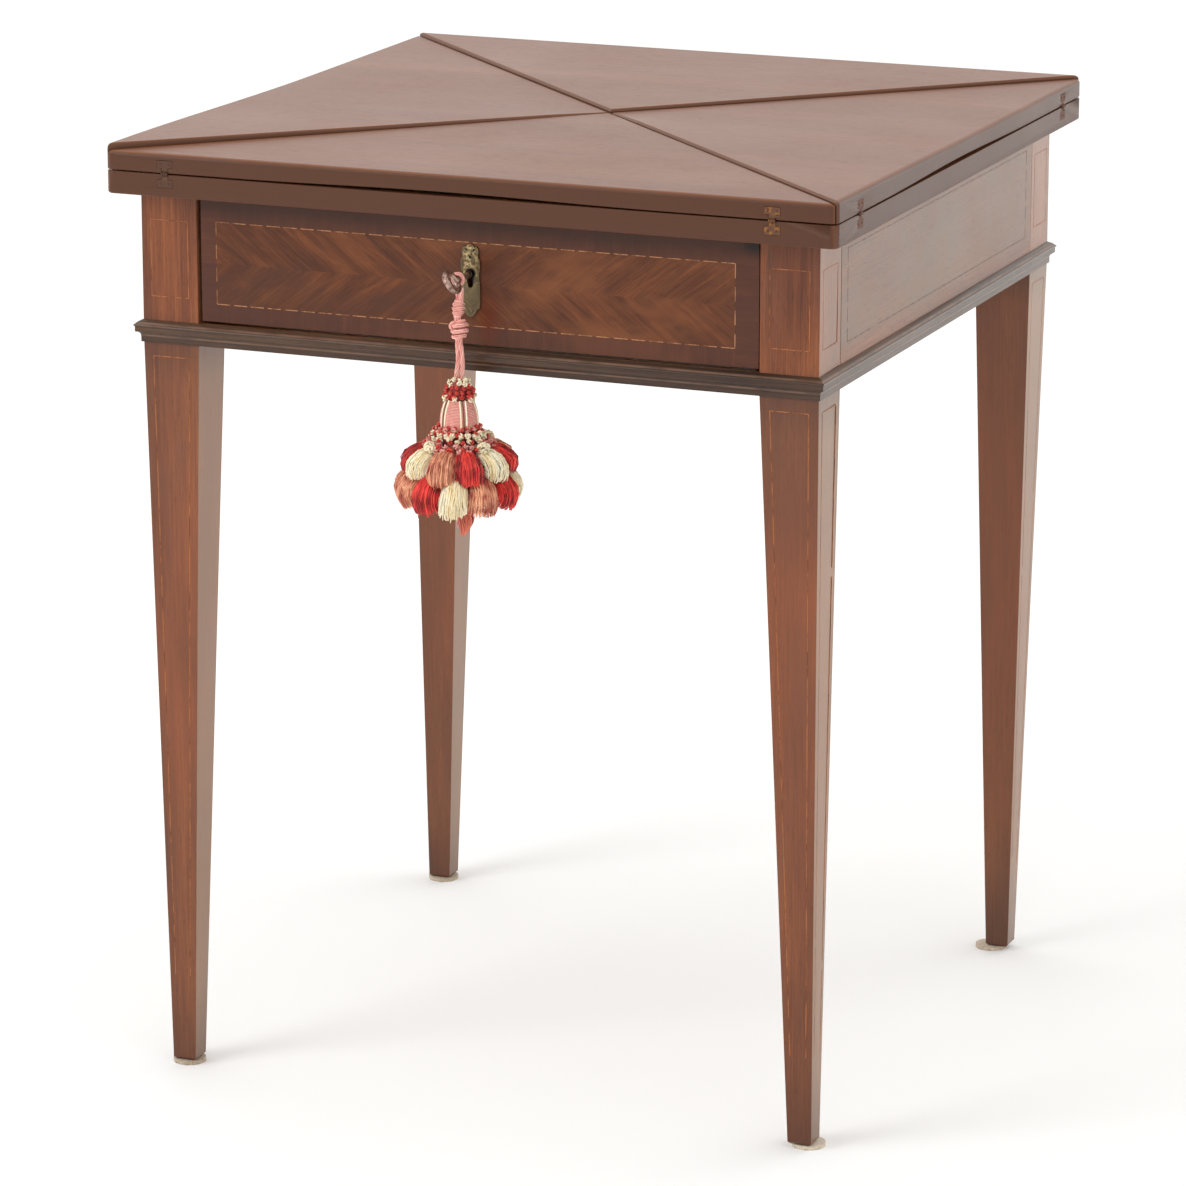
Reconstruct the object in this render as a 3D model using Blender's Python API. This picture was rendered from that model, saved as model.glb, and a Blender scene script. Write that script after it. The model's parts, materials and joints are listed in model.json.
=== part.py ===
"""Envelope card table: tapered legs, a frieze with one locked drawer, and a swivelling top of four hinged leaves.

Metres, +Z up, the floor at z = 0. The drawer front faces -Y. Every piece is drawn with the swivel axis on the
Z axis, and then the whole table is moved back, so that the middle of its box, key included and tassel apart,
is at y = 0.
"""
import math

import bmesh
import bpy
from mathutils import Matrix, Vector

# Overall sizes, measured from the photo at a table height of 745 mm
TABLE_HEIGHT = 0.745
TOP_SIDE = 0.594
TOP_OVERHANG = 0.020
FRIEZE_HEIGHT = 0.118

# Clearances
FIT = 0.0003
CUT_OVERRUN = 0.002

# Swivelling top
LEAF_THICKNESS = 0.0172
BED_THICKNESS = 0.0174
LEAF_SEAM = 0.0012
DIAGONAL_SEAM = 0.0010
TOP_CORNER_RADIUS = 0.006
LEAF_EDGE_ROUND = 0.0035
DIAGONAL_CHAMFER = 0.0015
BED_EDGE_CHAMFER = 0.0010
BAIZE_THICKNESS = 0.0008
BAIZE_EDGE_MARGIN = 0.012
BAIZE_DIAGONAL_MARGIN = 0.024

# Edge hinges, two to a leaf
HINGE_FROM_CORNER = 0.0505
HINGE_HEAD_WIDTH = 0.0124
HINGE_HEAD_HEIGHT = 0.0060
HINGE_NECK_WIDTH = 0.0052
HINGE_REACH = 0.0105
HINGE_PLATE = 0.0016
HINGE_KNUCKLE_RADIUS = 0.0014
HINGE_PIN_RADIUS = 0.0006
HINGE_PIN_PLAY = 0.00015
HINGE_KNUCKLE_WIDTH = 0.0018
HINGE_AXIS_STAND = 0.0003

# Pivot of the top
PIVOT_RADIUS = 0.005
PIVOT_HEAD_RADIUS = 0.011
PIVOT_HEAD_HEIGHT = 0.004
PIVOT_NUT_RADIUS = 0.010
PIVOT_NUT_HEIGHT = 0.005
PIVOT_RAIL_WIDTH = 0.060
PIVOT_RAIL_HEIGHT = 0.022
PIVOT_RAIL_TENON = 0.008

# Legs and rails
LEG_WIDTH = 0.047
FOOT_WIDTH = 0.0195
FOOT_OUTER_INSET = 0.0088
FOOT_ROUND = 0.0020
PAD_THICKNESS = 0.003
PAD_RADIUS = 0.013
PAD_SHIFT = 0.0032

# How far each foot stands from where a true leg would put it, along X: the photo shows three legs a little out
FOOT_SHIFT_FRONT_LEFT = 0.0
FOOT_SHIFT_FRONT_RIGHT = 0.0055
FOOT_SHIFT_BACK_LEFT = -0.0035
FOOT_SHIFT_BACK_RIGHT = -0.0050
RAIL_THICKNESS = 0.018
TENON_THICKNESS = 0.008
TENON_LENGTH = 0.022
TENON_SHOULDER = 0.010
LOWER_RAIL_HEIGHT = 0.0174
TOP_RAIL_HEIGHT = 0.012

# Moulding round the foot of the frieze
MOULDING_HEIGHT = 0.0174
MOULDING_REACH = 0.0057
MOULDING_FOOT_REACH = 0.0012

# Drawer
DRAWER_GAP_LEFT = 0.0030
DRAWER_GAP_RIGHT = 0.0008
DRAWER_GAP_BELOW = 0.0022
DRAWER_GAP_ABOVE = 0.0010
DRAWER_RECESS = 0.0010
DRAWER_FRONT_THICKNESS = 0.018
DRAWER_LIP_THICKNESS = 0.007
DRAWER_SPACE_BEHIND = 0.095
DRAWER_SIDE_THICKNESS = 0.009
DRAWER_SIDE_HEIGHT = 0.066
DRAWER_SIDE_PLAY = 0.0008
DRAWER_BACK_THICKNESS = 0.010
DRAWER_BACK_INSET = 0.003
DRAWER_BOTTOM_THICKNESS = 0.005
DRAWER_BOTTOM_LIFT = 0.008
DRAWER_GROOVE = 0.004
DOVETAIL_COUNT = 3
DOVETAIL_LENGTH = 0.010
DOVETAIL_FLARE = 0.0025
RUNNER_WIDTH = 0.044
RUNNER_HEIGHT = 0.012
GUIDE_HEIGHT = 0.015

# Lock, key and escutcheon
LOCK_SHIFT = -0.002
KEY_DROP = 0.0437
LOCK_WIDTH = 0.040
LOCK_DEPTH = 0.011
LOCK_BELOW_KEY = 0.018
LOCK_FRONT_WALL = 0.0020
LOCK_POCKET_DEPTH = 0.0060
BOLT_WIDTH = 0.012
BOLT_THICKNESS = 0.003
BOLT_TRAVEL = 0.006
SHANK_RADIUS = 0.0022
BIT_RADIUS = 0.0075
BIT_THICKNESS = 0.0018
BIT_WIDTH = 0.0046
BOW_REACH = 0.0365
BOW_RADIUS = 0.0095
BOW_WIRE_RADIUS = 0.0021
BOW_TURN = math.radians(-26)
COLLAR_RADIUS = 0.0031
COLLAR_WIDTH = 0.0022
ESCUTCHEON_WIDTH = 0.0155
ESCUTCHEON_TOP = 0.0224
ESCUTCHEON_BOTTOM = 0.0336
ESCUTCHEON_PLATE = 0.0012
KEYHOLE_RADIUS = 0.0032
KEYHOLE_SLOT_WIDTH = 0.0042
KEYHOLE_DROP = 0.0110

# Tassel on the key
TASSEL_REACH = 0.0245
LOOP_WIRE_RADIUS = 0.0016
LOOP_PLAY = 0.0004
CORD_RADIUS = 0.0035
SMALL_KNOT_RADIUS = 0.0050
SMALL_KNOT_DROP = 0.0214
BIG_KNOT_RADIUS = 0.0076
BIG_KNOT_DROP = 0.0388
KNOT_LENGTH_SHARE = 1.15
HEAD_DROP = 0.0762
HEAD_LENGTH = 0.0500
HEAD_RADIUS = 0.0142
RUFF_RADIUS = 0.0125
COLLAR_RUFF_RADIUS = 0.0225
SKIRT_LENGTH = 0.0725
UPPER_TIER_RADIUS = 0.0468
LOWER_TIER_RADIUS = 0.0490
TIP_RADIUS = 0.0065
CORE_END_LIFT = 0.008
TUFT_COUNT = 12
TUFT_GROOVE_SHARE = 0.13

# Faces of round pieces
ROUND_STEPS = 32
SMALL_ROUND_STEPS = 16
CORNER_STEPS = 4
TUFT_STEPS = 6

# Places worked out from the sizes above
HALF_TOP = TOP_SIDE / 2
HALF_FRIEZE = HALF_TOP - TOP_OVERHANG
INNER_LEG = HALF_FRIEZE - LEG_WIDTH
LEAF_TOP = TABLE_HEIGHT
LEAF_BOTTOM = LEAF_TOP - LEAF_THICKNESS
BED_TOP = LEAF_BOTTOM - LEAF_SEAM
BED_BOTTOM = BED_TOP - BED_THICKNESS
FRAME_TOP = BED_BOTTOM - FIT
FRIEZE_BOTTOM = FRAME_TOP - FRIEZE_HEIGHT
SEAM_LEVEL = (LEAF_BOTTOM + BED_TOP) / 2
HINGE_AXIS_OUT = HALF_TOP + HINGE_AXIS_STAND
HINGE_ALONG = HALF_TOP - HINGE_FROM_CORNER
KEY_HEIGHT = FRAME_TOP - KEY_DROP
RUNNER_TOP = FRIEZE_BOTTOM + LOWER_RAIL_HEIGHT
FACE_Y = -HALF_FRIEZE + DRAWER_RECESS
DRAWER_BACK_FACE_Y = FACE_Y + DRAWER_FRONT_THICKNESS
DRAWER_LEFT = -INNER_LEG + DRAWER_GAP_LEFT
DRAWER_RIGHT = INNER_LEG - DRAWER_GAP_RIGHT
DRAWER_LOW = RUNNER_TOP + DRAWER_GAP_BELOW
DRAWER_HIGH = FRAME_TOP - DRAWER_GAP_ABOVE
DRAWER_SHOULDER = FRAME_TOP - TOP_RAIL_HEIGHT - DRAWER_GAP_ABOVE
DRAWER_END_Y = HALF_FRIEZE - RAIL_THICKNESS - DRAWER_SPACE_BEHIND
BACK_FRONT_Y = DRAWER_END_Y - DRAWER_BACK_INSET - DRAWER_BACK_THICKNESS
SIDE_LOW = RUNNER_TOP + FIT
SIDE_HIGH = SIDE_LOW + DRAWER_SIDE_HEIGHT
SIDE_OUT = INNER_LEG - DRAWER_SIDE_PLAY
SIDE_IN = SIDE_OUT - DRAWER_SIDE_THICKNESS
BOTTOM_LOW = SIDE_LOW + DRAWER_BOTTOM_LIFT
BOTTOM_HIGH = BOTTOM_LOW + DRAWER_BOTTOM_THICKNESS
LOCK_FACE_Y = DRAWER_BACK_FACE_Y - LOCK_DEPTH
POCKET_START_Y = LOCK_FACE_Y + LOCK_FRONT_WALL
POCKET_END_Y = POCKET_START_Y + LOCK_POCKET_DEPTH
POCKET_MIDDLE_Y = (POCKET_START_Y + POCKET_END_Y) / 2
POCKET_RADIUS = BIT_RADIUS + FIT
BOW_Y = FACE_Y - BOW_REACH
TASSEL_Y = FACE_Y - TASSEL_REACH
BOX_FRONT_Y = BOW_Y - BOW_RADIUS
BOX_BACK_Y = HINGE_AXIS_OUT + HINGE_KNUCKLE_RADIUS
AXIS_Y = -(BOX_FRONT_Y + BOX_BACK_Y) / 2
SIDES = ("front", "right", "back", "left")
CORNERS = (
    ("front_left", -1, -1, FOOT_SHIFT_FRONT_LEFT),
    ("front_right", 1, -1, FOOT_SHIFT_FRONT_RIGHT),
    ("back_left", -1, 1, FOOT_SHIFT_BACK_LEFT),
    ("back_right", 1, 1, FOOT_SHIFT_BACK_RIGHT),
)


def clear_scene():
    for old in list(bpy.data.objects):
        bpy.data.objects.remove(old, do_unlink=True)


def finish_material(name, colour, roughness, metallic=0.0):
    mat = bpy.data.materials.new(name)
    mat.use_nodes = True
    shader = mat.node_tree.nodes["Principled BSDF"]
    shader.inputs["Base Color"].default_value = (*colour, 1.0)
    shader.inputs["Roughness"].default_value = roughness
    shader.inputs["Metallic"].default_value = metallic
    return mat


def make_materials():
    return {
        "mahogany": finish_material("mahogany", (0.20, 0.065, 0.028), 0.35),
        "mahogany_top": finish_material("mahogany_top", (0.16, 0.075, 0.055), 0.40),
        "dark_moulding": finish_material("dark_moulding", (0.055, 0.035, 0.025), 0.40),
        "drawer_lining": finish_material("drawer_lining", (0.42, 0.27, 0.14), 0.60),
        "baize": finish_material("baize", (0.05, 0.16, 0.07), 0.95),
        "felt": finish_material("felt", (0.72, 0.68, 0.60), 0.95),
        "brass": finish_material("brass", (0.47, 0.39, 0.22), 0.40, 1.0),
        "steel": finish_material("steel", (0.45, 0.42, 0.40), 0.35, 1.0),
        "cord_pink": finish_material("cord_pink", (0.80, 0.33, 0.32), 0.80),
        "tuft_red": finish_material("tuft_red", (0.60, 0.10, 0.10), 0.80),
    }


def add_object(name, mesh, mat=None):
    obj = bpy.data.objects.new(name, mesh)
    bpy.context.scene.collection.objects.link(obj)
    if mat is not None:
        mesh.materials.append(mat)
    return obj


def mesh_from(name, verts, faces):
    mesh = bpy.data.meshes.new(name)
    mesh.from_pydata([tuple(v) for v in verts], [], faces)
    bm = bmesh.new()
    bm.from_mesh(mesh)
    bmesh.ops.recalc_face_normals(bm, faces=bm.faces)
    bm.to_mesh(mesh)
    bm.free()
    mesh.update()
    return mesh


def smooth(obj, angle=math.radians(40)):
    obj.data.shade_smooth()
    obj.data.set_sharp_from_angle(angle=angle)
    return obj


def stacked_mesh(name, rings):
    """Skin a closed solid over rings of points, all with the same count, in order along the solid."""
    count = len(rings[0])
    verts = [v for ring in rings for v in ring]
    faces = [list(range(count))]
    for level in range(len(rings) - 1):
        low, high = level * count, (level + 1) * count
        for i in range(count):
            j = (i + 1) % count
            faces.append([low + i, low + j, high + j, high + i])
    top = (len(rings) - 1) * count
    faces.append([top + i for i in range(count)])
    return mesh_from(name, verts, faces)


def box_rings(low, high):
    (x0, y0, z0), (x1, y1, z1) = low, high
    return [[(x0, y0, z), (x1, y0, z), (x1, y1, z), (x0, y1, z)] for z in (z0, z1)]


def box(name, low, high, mat=None):
    return add_object(name, stacked_mesh(name, box_rings(low, high)), mat)


def prism_rings(outline, axis, low, high):
    """Rings of an outline pushed along an axis; the outline's pairs fill the other two axes in order."""
    places = {"X": lambda a, b, t: (t, a, b), "Y": lambda a, b, t: (a, t, b), "Z": lambda a, b, t: (a, b, t)}
    place = places[axis]
    return [[place(a, b, t) for a, b in outline] for t in (low, high)]


def prism(name, outline, axis, low, high, mat=None):
    return add_object(name, stacked_mesh(name, prism_rings(outline, axis, low, high)), mat)


def arc(centre, radius, start, end, steps):
    """Points of an arc in a plane, from one angle to another, ends included."""
    points = []
    for i in range(steps + 1):
        a = start + (end - start) * i / steps
        points.append((centre[0] + radius * math.cos(a), centre[1] + radius * math.sin(a)))
    return points


def circle(centre, radius, steps):
    return arc(centre, radius, 0.0, 2 * math.pi * (steps - 1) / steps, steps - 1)


def as_cutter(obj):
    obj.hide_render = True
    obj.display_type = "WIRE"
    return obj


def combine(obj, other, operation):
    mod = obj.modifiers.new(other.name, "BOOLEAN")
    mod.operation = operation
    mod.solver = "EXACT"
    mod.object = as_cutter(other)
    return obj


def cut(obj, other):
    return combine(obj, other, "DIFFERENCE")


def join(obj, other):
    return combine(obj, other, "UNION")


def rounded_square(half, radius, inset=0.0):
    """Corner points of a square with round corners, drawn in by an inset that keeps the arcs' centres."""
    r = radius - inset
    at = half - radius
    points = []
    for k, (sx, sy) in enumerate(((1, 1), (-1, 1), (-1, -1), (1, -1))):
        start = k * math.pi / 2
        points += arc((sx * at, sy * at), r, start, start + math.pi / 2, CORNER_STEPS)
    return points


def at_height(outline, z):
    return [(x, y, z) for x, y in outline]


def quarter_turn(k):
    return Matrix.Rotation(k * math.pi / 2, 4, "Z")


def turned(obj, k):
    """Turn a piece modelled at the front to another side of the table."""
    obj.data.transform(quarter_turn(k))
    return obj


def joint_empty(name, place, parent=None):
    empty = bpy.data.objects.new(name, None)
    bpy.context.scene.collection.objects.link(empty)
    empty.empty_display_size = PIVOT_HEAD_RADIUS
    if parent is not None:
        empty.parent = parent
        empty.location = Vector(place) - parent.matrix_world.translation
    else:
        empty.location = place
    bpy.context.view_layer.update()
    return empty


def hang_on(empty, objects):
    for obj in objects:
        obj.parent = empty
        obj.matrix_parent_inverse = empty.matrix_world.inverted()


# Frame

def leg(name, sx, sy, shift, mat):
    """A leg from its foot to the top of the frieze; shift carries the foot along X."""
    def square(low_in, high_out, carried):
        xs = sorted((sx * low_in + carried, sx * high_out + carried))
        ys = sorted((sy * low_in, sy * high_out))
        return [(xs[0], ys[0]), (xs[1], ys[0]), (xs[1], ys[1]), (xs[0], ys[1])]

    foot_out = HALF_FRIEZE - FOOT_OUTER_INSET
    foot_in = foot_out - FOOT_WIDTH
    foot_z = PAD_THICKNESS + FIT
    rings = [
        at_height(square(foot_in + FOOT_ROUND, foot_out - FOOT_ROUND, shift), foot_z),
        at_height(square(foot_in, foot_out, shift), foot_z + FOOT_ROUND),
        at_height(square(INNER_LEG, HALF_FRIEZE, 0.0), FRIEZE_BOTTOM),
        at_height(square(INNER_LEG, HALF_FRIEZE, 0.0), FRAME_TOP),
    ]
    return add_object(name, stacked_mesh(name, rings), mat)


def tenon_levels(low, high, shoulder):
    return low + shoulder, high - shoulder


def side_rail_tenon(grow):
    """Low and high corner of the right-hand rail's long tenon bar; grow widens it into its mortise."""
    z0, z1 = tenon_levels(FRIEZE_BOTTOM, FRAME_TOP, TENON_SHOULDER)
    middle = HALF_FRIEZE - RAIL_THICKNESS / 2
    half = TENON_THICKNESS / 2 + grow
    reach = INNER_LEG + TENON_LENGTH + grow
    return (middle - half, -reach, z0 - grow), (middle + half, reach, z1 + grow)


def lower_rail_tenon(grow):
    half_z = LOWER_RAIL_HEIGHT / 2
    shoulder = TENON_SHOULDER / 2
    middle = FRIEZE_BOTTOM + half_z
    reach = INNER_LEG + TENON_LENGTH - RAIL_THICKNESS / 4 + grow
    low = (-reach, -HALF_FRIEZE + shoulder - grow, middle - TENON_THICKNESS / 2 - grow)
    high = (reach, -INNER_LEG - shoulder + grow, middle + TENON_THICKNESS / 2 + grow)
    return low, high


def top_rail_front():
    return FACE_Y + DRAWER_LIP_THICKNESS + DRAWER_GAP_ABOVE


def top_rail_tenon(grow):
    middle = FRAME_TOP - TOP_RAIL_HEIGHT / 2
    reach = INNER_LEG + TENON_LENGTH - RAIL_THICKNESS / 4 + grow
    shoulder = TENON_SHOULDER / 2
    low = (-reach, top_rail_front() + shoulder - grow, middle - TENON_THICKNESS / 2 - grow)
    high = (reach, -INNER_LEG - shoulder + grow, middle + TENON_THICKNESS / 2 + grow)
    return low, high


def turned_box(name, low, high, k):
    return turned(box(name, low, high), k)


def make_legs(mats):
    legs = []
    for name, sx, sy, shift in CORNERS:
        legs.append(leg("leg_" + name, sx, sy, shift, mats["mahogany"]))
    low, high = side_rail_tenon(FIT)
    for k, hit in ((0, (1, 3)), (1, (2, 3)), (2, (0, 2))):
        mortise = turned_box("mortise_rail_%d" % k, low, high, k)
        for index in hit:
            cut(legs[index], mortise)
    for name, corners in (("lower", lower_rail_tenon(FIT)), ("top", top_rail_tenon(FIT))):
        mortise = box("mortise_front_" + name, *corners)
        cut(legs[0], mortise)
        cut(legs[1], mortise)
    return legs


def make_pads(mats):
    """Round felt pads; the front right and back right ones sit off their feet, as in the photo."""
    middle = HALF_FRIEZE - FOOT_OUTER_INSET - FOOT_WIDTH / 2
    slips = {"front_right": (PAD_SHIFT, PAD_SHIFT), "back_right": (-PAD_SHIFT, 0.0)}
    pads = []
    for name, sx, sy, shift in CORNERS:
        slip_x, slip_y = slips.get(name, (0.0, 0.0))
        centre = (sx * middle + shift + slip_x, sy * middle + slip_y)
        outline = circle(centre, PAD_RADIUS, ROUND_STEPS)
        pads.append(smooth(prism("pad_" + name, outline, "Z", 0.0, PAD_THICKNESS, mats["felt"])))
    return pads


def make_side_rail(name, k, mats):
    """A frieze rail with its two tenons, modelled at the right and turned to its side."""
    low = (HALF_FRIEZE - RAIL_THICKNESS, -INNER_LEG + FIT, FRIEZE_BOTTOM)
    high = (HALF_FRIEZE, INNER_LEG - FIT, FRAME_TOP)
    rail = turned(box(name, low, high, mats["mahogany"]), k)
    return join(rail, turned_box("tenon_" + name, *side_rail_tenon(0.0), k))


def make_rails(mats):
    right = make_side_rail("rail_right", 0, mats)
    back = make_side_rail("rail_back", 1, mats)
    left = make_side_rail("rail_left", 2, mats)
    edge = INNER_LEG - FIT
    low = (-edge, -HALF_FRIEZE, FRIEZE_BOTTOM)
    lower = box("rail_front_lower", low, (edge, -INNER_LEG, RUNNER_TOP), mats["mahogany"])
    join(lower, box("tenon_front_lower", *lower_rail_tenon(0.0)))
    low = (-edge, top_rail_front(), FRAME_TOP - TOP_RAIL_HEIGHT)
    top = box("rail_front_top", low, (edge, -INNER_LEG, FRAME_TOP), mats["drawer_lining"])
    join(top, box("tenon_front_top", *top_rail_tenon(0.0)))
    cut(top, bolt_mortise())
    pivot = make_pivot_rail(mats)
    for rail in (left, right):
        cut(rail, bpy.data.objects["mortise_pivot_rail"])
    return [left, right, back, lower, top, pivot]


def make_pivot_rail(mats):
    inner = HALF_FRIEZE - RAIL_THICKNESS
    half = PIVOT_RAIL_WIDTH / 2
    z0, z1 = FRAME_TOP - PIVOT_RAIL_HEIGHT, FRAME_TOP
    reach = inner + PIVOT_RAIL_TENON
    rail = box("pivot_rail", (-reach, -half, z0), (reach, half, z1), mats["drawer_lining"])
    wide = reach + FIT
    box("mortise_pivot_rail", (-wide, -half - FIT, z0 - FIT), (wide, half + FIT, z1 + CUT_OVERRUN))
    bore = circle((0.0, 0.0), PIVOT_RADIUS + FIT, ROUND_STEPS)
    return cut(rail, prism("bore_pivot_rail", bore, "Z", z0 - CUT_OVERRUN, z1 + CUT_OVERRUN))


def moulding_profile():
    """Outline of the moulding: distance out from the frieze and height above its foot."""
    reach, foot, high = MOULDING_REACH, MOULDING_FOOT_REACH, MOULDING_HEIGHT
    nose = reach * 0.16
    nose_z = high * 0.76
    points = [(0.0, 0.0), (foot, 0.0), (foot, high * 0.26)]
    cove = reach - nose - foot
    points += arc((foot + cove, high * 0.26), cove, math.pi, math.pi / 2, CORNER_STEPS)[1:]
    points += arc((reach - nose, nose_z), nose, -math.pi / 2, math.pi / 2, CORNER_STEPS)
    points += [(reach * 0.58, high * 0.90), (reach * 0.24, high * 0.96), (0.0, high)]
    return points


def make_mouldings(mats):
    pieces = []
    start = HALF_FRIEZE + FIT
    for k, side in enumerate(SIDES):
        rings = []
        for sign in (-1, 1):
            ring = []
            for out, up in moulding_profile():
                along = sign * (start + out - FIT / 2)
                ring.append((along, -(start + out), FRIEZE_BOTTOM + up))
            rings.append(ring)
        name = "moulding_" + side
        piece = add_object(name, stacked_mesh(name, rings), mats["dark_moulding"])
        pieces.append(smooth(turned(piece, k)))
    return pieces


def make_runners(mats):
    out = HALF_FRIEZE - RAIL_THICKNESS - FIT
    half = INNER_LEG - FIT
    base = out - RUNNER_WIDTH
    step = RUNNER_TOP + GUIDE_HEIGHT
    low = RUNNER_TOP - RUNNER_HEIGHT
    runners = []
    for sign, name in ((-1, "left"), (1, "right")):
        outline = [(base, low), (out, low), (out, step), (INNER_LEG, step), (INNER_LEG, RUNNER_TOP),
                   (base, RUNNER_TOP)]
        outline = [(sign * x, z) for x, z in outline]
        runners.append(prism("drawer_runner_" + name, outline, "Y", -half, half, mats["drawer_lining"]))
    return runners


# Swivelling top

def bed_outline(inset):
    return rounded_square(HALF_TOP, TOP_CORNER_RADIUS, inset)


def make_bed(mats):
    rings = [
        at_height(bed_outline(BED_EDGE_CHAMFER), BED_BOTTOM),
        at_height(bed_outline(0.0), BED_BOTTOM + BED_EDGE_CHAMFER),
        at_height(bed_outline(0.0), BED_TOP),
    ]
    bed = add_object("bed_board", stacked_mesh("bed_board", rings), mats["mahogany_top"])
    recess = HALF_TOP - BAIZE_EDGE_MARGIN
    floor = BED_TOP - BAIZE_THICKNESS - FIT
    cut(bed, box("recess_bed", (-recess, -recess, floor), (recess, recess, BED_TOP + CUT_OVERRUN)))
    cloth = recess - FIT
    baize = box("bed_baize", (-cloth, -cloth, floor + FIT), (cloth, cloth, BED_TOP), mats["baize"])
    cut(bed, pivot_cutter(floor))
    for k in range(len(SIDES)):
        for end in (-1, 1):
            cut(bed, hinge_pocket("pocket_bed_%d_%d" % (k, end), -1, end, k))
    return [bed, baize, make_pivot_bolt(floor, mats)]


def lathe(name, profile, steps, mat=None, place=(0.0, 0.0, 0.0)):
    """Turn a closed outline of (radius, height) pairs about a vertical axis; its ends on the axis are one point."""
    verts = []
    rows = []
    for r, z in profile:
        if r == 0.0:
            verts.append((place[0], place[1], place[2] + z))
            rows.append([len(verts) - 1] * steps)
            continue
        row = []
        for i in range(steps):
            a = 2 * math.pi * i / steps
            verts.append((place[0] + r * math.cos(a), place[1] + r * math.sin(a), place[2] + z))
            row.append(len(verts) - 1)
        rows.append(row)
    faces = []
    for level, row in enumerate(rows):
        above = rows[(level + 1) % len(rows)]
        for i in range(steps):
            j = (i + 1) % steps
            face = []
            for v in (row[i], row[j], above[j], above[i]):
                if v not in face:
                    face.append(v)
            if len(face) > 2:
                faces.append(face)
    return add_object(name, mesh_from(name, verts, faces), mat)


def pivot_cutter(floor):
    head, shank = PIVOT_HEAD_RADIUS + FIT, PIVOT_RADIUS + FIT
    seat = floor - FIT - PIVOT_HEAD_HEIGHT - FIT
    low = BED_BOTTOM - CUT_OVERRUN
    profile = [(0.0, low), (shank, low), (shank, seat), (head, seat), (head, BED_TOP), (0.0, BED_TOP)]
    return lathe("bore_bed", profile, ROUND_STEPS)


def make_pivot_bolt(floor, mats):
    head_top = floor - FIT
    head_low = head_top - PIVOT_HEAD_HEIGHT
    nut_top = FRAME_TOP - PIVOT_RAIL_HEIGHT - FIT
    nut_low = nut_top - PIVOT_NUT_HEIGHT
    nut, shank, head = PIVOT_NUT_RADIUS, PIVOT_RADIUS, PIVOT_HEAD_RADIUS
    profile = [(0.0, nut_low), (nut, nut_low), (nut, nut_top), (shank, nut_top), (shank, head_low),
               (head, head_low), (head, head_top), (0.0, head_top)]
    return smooth(lathe("pivot_bolt", profile, ROUND_STEPS, mats["steel"]))


def leaf_outline(edge_inset, diagonal_inset):
    """The front leaf seen from above: straight outer edge, round ends and two diagonal edges to the apex."""
    r = TOP_CORNER_RADIUS - edge_inset
    at = HALF_TOP - TOP_CORNER_RADIUS
    w = (DIAGONAL_SEAM / 2 + diagonal_inset) * math.sqrt(2)
    start = math.pi / 4 - math.acos(-w / (math.sqrt(2) * r))
    right = arc((at, -at), r, start, -math.pi / 2, CORNER_STEPS)
    left = [(-x, y) for x, y in reversed(right)]
    return right + left + [(0.0, -w)]


def make_leaf(k, side, mats):
    rings = [
        at_height(leaf_outline(BED_EDGE_CHAMFER / 2, 0.0), LEAF_BOTTOM),
        at_height(leaf_outline(0.0, 0.0), LEAF_BOTTOM + BED_EDGE_CHAMFER / 2),
    ]
    for a_edge in (0.0, math.pi / 6, math.pi / 3, math.pi / 2):
        drop = LEAF_EDGE_ROUND * (1 - math.sin(a_edge))
        inset = LEAF_EDGE_ROUND * (1 - math.cos(a_edge))
        slope = max(0.0, 1 - drop / DIAGONAL_CHAMFER)
        rings.append(at_height(leaf_outline(inset, DIAGONAL_CHAMFER * slope), LEAF_TOP - drop))
    leaf = add_object("leaf_" + side, stacked_mesh("leaf_" + side, rings), mats["mahogany_top"])
    lining = baize_outline(0.0)
    ceiling = LEAF_BOTTOM + BAIZE_THICKNESS + FIT
    cut(leaf, prism("recess_leaf_" + side, lining, "Z", LEAF_BOTTOM - CUT_OVERRUN, ceiling))
    baize = prism("baize_" + side, baize_outline(FIT), "Z", LEAF_BOTTOM, ceiling - FIT, mats["baize"])
    for end in (-1, 1):
        cut(leaf, hinge_pocket("pocket_leaf_%s_%d" % (side, end), 1, end, 0))
    for piece in [leaf] + [mod.object for mod in leaf.modifiers] + [baize]:
        turned(piece, k)
    return leaf, baize


def baize_outline(inset):
    """A triangle let into the leaf, inside a margin along its edges."""
    edge = HALF_TOP - BAIZE_EDGE_MARGIN - inset
    w = (BAIZE_DIAGONAL_MARGIN + inset) * math.sqrt(2)
    return [(edge - w, -edge), (0.0, -w), (-edge + w, -edge)]


def hinge_outline(grow, notch, arms):
    """A hinge plate seen on the edge, as (along, away from the seam): a wide head on a narrow neck.

    notch clears the other plate's knuckles; arms says whether the neck meets the pin beside or between them.
    """
    head = HINGE_HEAD_WIDTH / 2 + grow
    neck = HINGE_NECK_WIDTH / 2 + grow
    knuckle = HINGE_KNUCKLE_WIDTH / 2
    far = HINGE_REACH + grow
    step = HINGE_REACH - HINGE_HEAD_HEIGHT - grow
    near = -CUT_OVERRUN
    if arms == "pocket":
        foot = [(neck, near), (-neck, near)]
    elif arms == "outer":
        inner = knuckle + FIT / 2
        foot = [(neck, 0.0), (inner, 0.0), (inner, notch), (-inner, notch), (-inner, 0.0), (-neck, 0.0)]
    else:
        inner = knuckle - FIT / 2
        foot = [(neck, notch), (inner, notch), (inner, 0.0), (-inner, 0.0), (-inner, notch), (-neck, notch)]
    return [(-head, far), (head, far), (head, step), (neck, step)] + foot + [(-neck, step), (-head, step)]


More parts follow.
